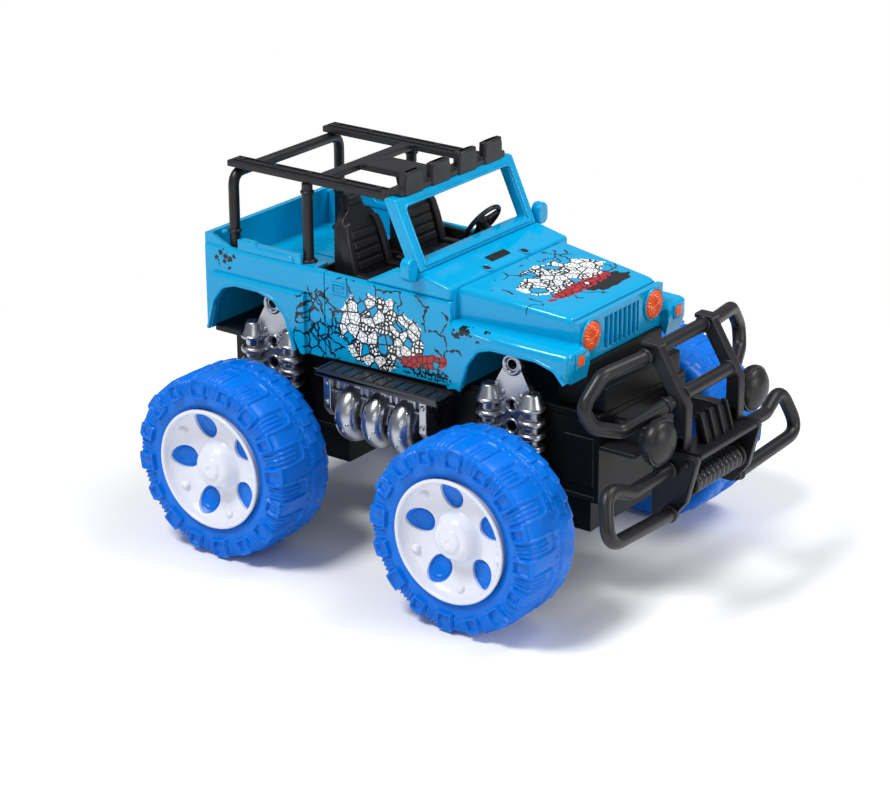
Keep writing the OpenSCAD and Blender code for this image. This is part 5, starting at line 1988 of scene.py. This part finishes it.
@dataclass
class Cage:
    """The roll cage and the flat roof rack with its upright tabs."""

    radius: float = 1.6
    rear: float = -18.0
    front: float = 9.5
    side: float = 24.5
    bend: float = 4.2

    def build(self) -> None:
        """Adds the cage and the rack."""
        low, high = local("roll_cage")
        r, rear, side = self.radius, self.rear, self.side
        sill = local("left_door")[1].z
        hoop_z = local("roof_rack")[0].z - r - 0.15
        hoop = [(rear, -side, low.z), (rear, -side, hoop_z), (rear, side, hoop_z), (rear, side, low.z)]
        cage = Shape().tube(filleted(hoop, self.bend), r, 24)
        foot = [(2.5, 0), (2.5, 0.5), (2.2, 0.8), (1.7, 1.0)]
        for y in (-side, side):
            cage.tube([(self.front, y, sill), (self.front, y, high.z)], r, 24)
            for at in ((self.front, y, sill), (rear, y, low.z)):
                cage.lathe(foot, at, UP, 28)
            for at in ((rear, y, local("load_bed")[1].z + 1.2), (self.front, y, high.z - 2.5)):
                cage.ring(at, UP, r, (0.45, 0.55), 28)
        place("roll_cage_look", cage, TRIM_BAR, replaces=["roll_cage"])
        place("roof_rack_look", node_shape("roof_rack"), TRIM.edged(0.45), replaces=["roof_rack"])
        self.details()

    def details(self) -> None:
        """Adds the rack's rivets and ridges, and the four tabs over the windscreen."""
        low, high = local("roof_rack")
        top = local("windscreen_frame")[1].z
        rivet = Shape().lathe([(1.0, -0.1), (0.95, 0.3), (0.6, 0.55), (0, 0.6)], (-16.5, 22, top), UP, 20)
        pair("{}_rail_rivets", rivet, TRIM_ROUND, count=5, step=(12.4, 0, 0))
        ridge = Shape().brick((low.x + 1.4, 20.2, top - 0.2), (high.x - 8, 20.8, top + 0.35))
        pair("{}_rail_ridges", ridge, TRIM.edged(0.15), count=2, step=(0, 3.0, 0))
        half, foot = 4.4, top - 0.4
        outline = [(half, foot), (half - 0.2, high.z - 1.6), (half - 0.7, high.z - 0.5),
            (half - 1.7, high.z)]
        outline = [(-half, foot), *outline, *[(-y, z) for y, z in outline[:0:-1]]]
        tab = Shape().prism(outline, high.x - 2.2, high.x + 0.35, 0).moved((0, -18.9, 0))
        row("roof_tabs_right", tab, TRIM.edged(0.5), 2, (0, 12.5, 0))
        row("roof_tabs_left", tab.mirrored(), TRIM.edged(0.5), 2, (0, -12.5, 0))


# ---------------------------------------------------------------- bumper


@dataclass
class Bumper:
    """The black front bumper: raked uprights, bars, brackets, bent hoops, fog lamps and the winch."""

    bar: float = 2.0
    nose: float = 0.0
    shelf: float = 50.0
    upright: float = 15.3
    thick: float = 3.2
    bracket: float = 1.6
    rope_turns: int = 10
    rope_pitch: float = 2.32

    def __post_init__(self) -> None:
        """Measures the CAD bumper."""
        self.nose = local("chassis")[1].x
        self.shelf = local("bumper_frame")[0].z + 20
        self.upright = local("bumper_frame")[1].y - 6.7

    def at(self, x: float, y: float, z: float) -> tuple[float, float, float]:
        """Returns a point given from the chassis' front and the shelf."""
        return (self.nose + x, y, self.shelf + z)

    def slab(self, points: Sequence[Point], low: float, high: float) -> Shape:
        """Returns a side outline, given from the chassis' front and the shelf, spread between two y."""
        return Shape().prism([(self.nose + x, self.shelf + z) for x, z in points], low, high)

    def build(self) -> None:
        """Adds the bumper."""
        self.frame()
        self.brackets()
        self.hoops()
        self.fog_lamps()
        self.winch()

    def frame(self) -> None:
        """Adds the uprights, bars, shelf and ribbed plate."""
        inner, outer = self.upright - self.thick, self.upright
        solid, thin = Shape(), Shape()
        solid.join(self.slab([(8.8, 28.3), (13.8, 28.3), (23.4, 12.8), (23.4, 0), (19, 0), (19, 12)], inner,
            outer))
        solid.brick(self.at(8.4, inner - 0.5, 27.4), self.at(14.2, outer + 0.5, 28.9))
        solid.brick(self.at(0, inner, -3), self.at(23, outer, 4))
        thin.join(self.slab([(14, 0), (28.1, 0), (28.4, -1.5), (25.2, -14), (20.5, -20), (14, -20)], outer,
            outer + self.bracket))
        thin.brick(self.at(0, outer, -2.9), self.at(11.6, outer + 6.7, -1.7))
        place("bumper_uprights", solid.doubled(), TRIM.edged(0.5), replaces=["bumper_frame"])
        thin = thin.doubled().brick(self.at(19, -outer, -1.5), self.at(28.1, outer, 0))
        thin.join(self.slab([(22, -1), (24.7, -1), (22, 7), (20.6, 7)], -7, 7))
        place("bumper_plates", thin, TRIM.edged(0.3))
        bars = Shape()
        for x, z in ((11.2, 26), (19.9, 15)):
            bars.tube([self.at(x, -inner - 0.5, z), self.at(x, inner + 0.5, z)], self.bar, 24)
            for y in (-inner + 0.2, inner - 0.2):
                bars.ring(self.at(x, y, z), OUT, self.bar, (0.5, 0.5), 28)
        place("bumper_bars", bars, TRIM_BAR)
        rib = self.slab([(23, -1), (25.6, -1), (22.8, 8.2), (21, 8.2)], -7, -6.1)
        row("bumper_guard_ribs", rib, TRIM.edged(0.25), 4, (0, 4.37, 0))

    def brackets(self) -> None:
        """Adds the bolts and the rolled edges of the side brackets."""
        face = self.upright + self.bracket
        bolt = Shape().lathe([(1.1, -0.2), (1.1, 0.45), (0.8, 0.7), (0.3, 0.75)], self.at(17.0, face, -2.8),
            OUT, 6)
        pair("{}_bracket_bolts", bolt, TRIM.edged(0.12), count=2, step=(7.5, 0, 0))
        path = [(14.3, -0.6), (27.5, -0.9), (27.7, -2), (24.8, -13.8), (20.3, -19.5)]
        edge = Shape().tube(filleted([self.at(x, self.upright + 1.5, z) for x, z in path], 1.2), 0.45, 12)
        pair("{}_bracket_edge", edge, TRIM_ROUND)

    def hoops(self) -> None:
        """Adds the bent bars at both sides, with a weld ring at each end."""
        y = self.upright
        upper = [(10.9, y - 0.6, 25), (7.7, y + 17.9, 24), (6.2, y + 25, 16.6), (8.2, y + 22.5, 10.8),
            (11.5, y + 14, 7.8), (18.4, y - 0.6, 13.2)]
        lower = [(20, y + 0.9, -5), (19, y + 19.7, -6), (17.5, y + 30.2, -2), (21.6, y + 35, -15.6),
            (20.5, y + 0.9, -18)]
        hoops = Shape()
        for points in (upper, lower):
            path = filleted([self.at(*p) for p in points], 5.0, 9)
            hoops.tube(path, self.bar, 28)
            for end, near in ((path[0], path[1]), (path[-1], path[-2])):
                axis = Vector(near) - Vector(end)
                hoops.ring(Vector(end) + axis.normalized() * 1.9, axis, self.bar, (0.5, 0.55), 32)
        pair("{}_hoops_look", hoops, TRIM_BAR, "{}_bumper_hoops")

    def fog_lamps(self) -> None:
        """Adds the fog lamps: rim, smooth cover and ribbed back."""
        low, high = local("left_fog_lamp")
        r, front = (high.z - low.z) / 2, high.x
        y, z = (low.y + high.y) / 2, (low.z + high.z) / 2
        profile = [(0, -9.2), (2.4, -9.0), (2.6, -7.2), (3.4, -6.8), (r - 1.6, -6.3), (r - 0.7, -5.9),
            (r - 0.15, -5.0), (r, -4.4), (r, -3.4), (r - 0.15, -3.0), (r - 0.6, -2.9), (r - 0.65, -2.7),
            (r - 0.9, -2.2), (r - 1.9, -1.3), (r - 3.4, -0.5), (r - 5.0, -0.1), (0, 0)]
        pair("{}_fog_lamp_look", Shape().lathe(profile, (front, y, z), AHEAD, 64), TRIM_BAR, "{}_fog_lamp")
        fin = Shape().prism([(front - 8.2, z + 2.2), (front - 6.2, z + r - 1.8), (front - 6.0, z + 2.2)],
            y - 0.35, y + 0.35)
        for name, side in SIDES:
            fins = Repeat.apply(fin.mirrored(side), TRIM_PP, 10, turn=(36, 0, 0),
                centre=(front, y * side, z))
            place(f"{name}_fog_lamp_fins", fins, TRIM.edged(0.12))

    def winch(self) -> None:
        """Adds the winch drum, its wound rope and its end discs."""
        low, high = local("winch_drum")
        r = (high.z - low.z) / 2
        x, z = (low.x + high.x) / 2, (low.z + high.z) / 2
        drum = Shape().lathe([(r - 1.8, low.y), (r - 1.8, high.y)], (x, 0, z), OUT, 32)
        for y in (-12.9, 11.7):
            drum.lathe([(r - 0.6, y), (r + 0.2, y + 0.2), (r + 0.2, y + 1.0), (r - 0.6, y + 1.2)],
                (x, 0, z), OUT, 40)
        place("winch_drum_look", drum, TRIM, replaces=["winch_drum"])
        first = -(self.rope_turns - 1) / 2 * self.rope_pitch
        rope = Shape().ring((x, first, z), OUT, r - 1.15, (1.15, 1.05), 40)
        row("winch_rope", rope, ROPE, self.rope_turns, (0, self.rope_pitch, 0))


# ---------------------------------------------------------------- studio


@dataclass
class Studio:
    """The camera, the soft lights and the pale floor."""

    azimuth: float = 36.473
    elevation: float = 21.629
    roll: float = -0.219
    lens: float = 110.26
    at: tuple[float, float, float] = (426.576, -596.920, 333.262)
    lights: list[tuple[str, Point, float, float]] = field(default_factory=lambda: [
        ("key", (-0.2, -0.5, 0.9), 0.32, 7.6), ("fill", (0.5, -0.9, 0.45), 0.5, 1.2),
        ("top", (0.35, 0.35, 0.9), 0.5, 5.0), ("front", (0.9, 0.1, 0.4), 0.35, 2.6)])

    def camera(self) -> None:
        """Adds the camera."""
        a, e, roll = (radians(v) for v in (self.azimuth, self.elevation, self.roll))
        back = Vector((sin(a) * cos(e), -cos(a) * cos(e), sin(e)))
        right = (-back).cross(Vector((0, 0, 1))).normalized()
        up = right.cross(-back)
        side = right * cos(roll) + up * sin(roll)
        top = -right * sin(roll) + up * cos(roll)
        data = bpy.data.cameras.new("camera")
        data.sensor_width = 36
        data.lens = self.lens
        data.clip_end = 20
        camera = bpy.data.objects.new("camera", data)
        bpy.context.scene.collection.objects.link(camera)
        turn = Matrix((side, top, back)).transposed().to_4x4()
        camera.matrix_world = Matrix.Translation(Vector(self.at) * MM) @ turn
        bpy.context.scene.camera = camera

    def lamps(self) -> None:
        """Adds the soft lights, each aimed at the toy's middle."""
        aim = Vector((0, 0, 0.05))
        for name, where, size, power in self.lights:
            data = bpy.data.lights.new(name, "AREA")
            data.shape = "DISK"
            data.size = size
            data.energy = power
            lamp = bpy.data.objects.new(name, data)
            bpy.context.scene.collection.objects.link(lamp)
            lamp.location = where
            lamp.rotation_euler = (Vector(where) - aim).to_track_quat("Z", "Y").to_euler()

    def world(self) -> None:
        """Adds the even light of the room, white where the camera sees it."""
        world = bpy.data.worlds.new("room")
        bpy.context.scene.world = world
        world.use_nodes = True
        tree = world.node_tree
        tree.nodes.clear()
        ray = add_node(tree, "ShaderNodeLightPath").outputs["Is Camera Ray"]
        seen = add_node(tree, "ShaderNodeBackground", {"Color": linear("FFFFFF"), "Strength": 1.0})
        room = add_node(tree, "ShaderNodeBackground", {"Color": linear("EEF1F4"), "Strength": 0.34})
        mix = add_node(tree, "ShaderNodeMixShader", {0: ray, 1: room.outputs[0], 2: seen.outputs[0]})
        add_node(tree, "ShaderNodeOutputWorld", {0: mix.outputs[0]})

    def floor(self) -> None:
        """Adds the pale floor."""
        mesh = bpy.data.meshes.new("floor")
        half = 3.0
        mesh.from_pydata([(-half, -half, 0), (half, -half, 0), (half, half, 0), (-half, half, 0)], [],
            [(0, 1, 2, 3)])
        # Painted board: matt and nearly white, so that the soft shadow reads, and pure white further off
        paint = Finish("floor_matt_paint", "FAFAFA", 0.75, shade=0.02, grain_depth_mm=0.002).build()
        tree = paint.node_tree
        where = add_node(tree, "ShaderNodeTexCoord").outputs["Object"]
        far = add_node(tree, "ShaderNodeVectorMath", {0: where}, operation="LENGTH").outputs["Value"]
        share = add_node(tree, "ShaderNodeMapRange", {"Value": far, "From Min": 0.1, "From Max": 0.26},
            interpolation_type="SMOOTHSTEP").outputs["Result"]
        seen = add_node(tree, "ShaderNodeLightPath").outputs["Is Camera Ray"]
        mask = add_node(tree, "ShaderNodeMath", {0: share, 1: seen}, operation="MULTIPLY").outputs[0]
        white = add_node(tree, "ShaderNodeEmission", {"Color": linear("FFFFFF"), "Strength": 1.0})
        output = next(node for node in tree.nodes if node.type == "OUTPUT_MATERIAL")
        board = output.inputs["Surface"].links[0].from_socket
        mix = add_node(tree, "ShaderNodeMixShader", {0: mask, 1: board, 2: white.outputs[0]})
        # Seen from below the board is clear, so that the toy's underside shows
        under = add_node(tree, "ShaderNodeNewGeometry").outputs["Backfacing"]
        clear = add_node(tree, "ShaderNodeBsdfTransparent")
        faced = add_node(tree, "ShaderNodeMixShader", {0: under, 1: mix.outputs[0], 2: clear.outputs[0]})
        tree.links.new(faced.outputs[0], output.inputs["Surface"])
        mesh.materials.append(paint)
        floor = bpy.data.objects.new("floor", mesh)
        floor.location.z = -0.00002
        bpy.context.scene.collection.objects.link(floor)

    def build(self) -> None:
        """Sets up the studio."""
        scene = bpy.context.scene
        scene.view_settings.view_transform = "Standard"
        self.camera()
        self.lamps()
        self.world()
        self.floor()


def main() -> None:
    """Builds the studio and the toy."""
    logging.basicConfig(level=logging.INFO, format="%(name)s %(message)s")
    Studio().build()
    for assembly in (Wheel(), Springs(), SideUnits(), Underbody(), BodyShell(), Lamps(), Cabin(), Cage(),
            Bumper()):
        assembly.build()


if __name__ == "__main__":
    main()
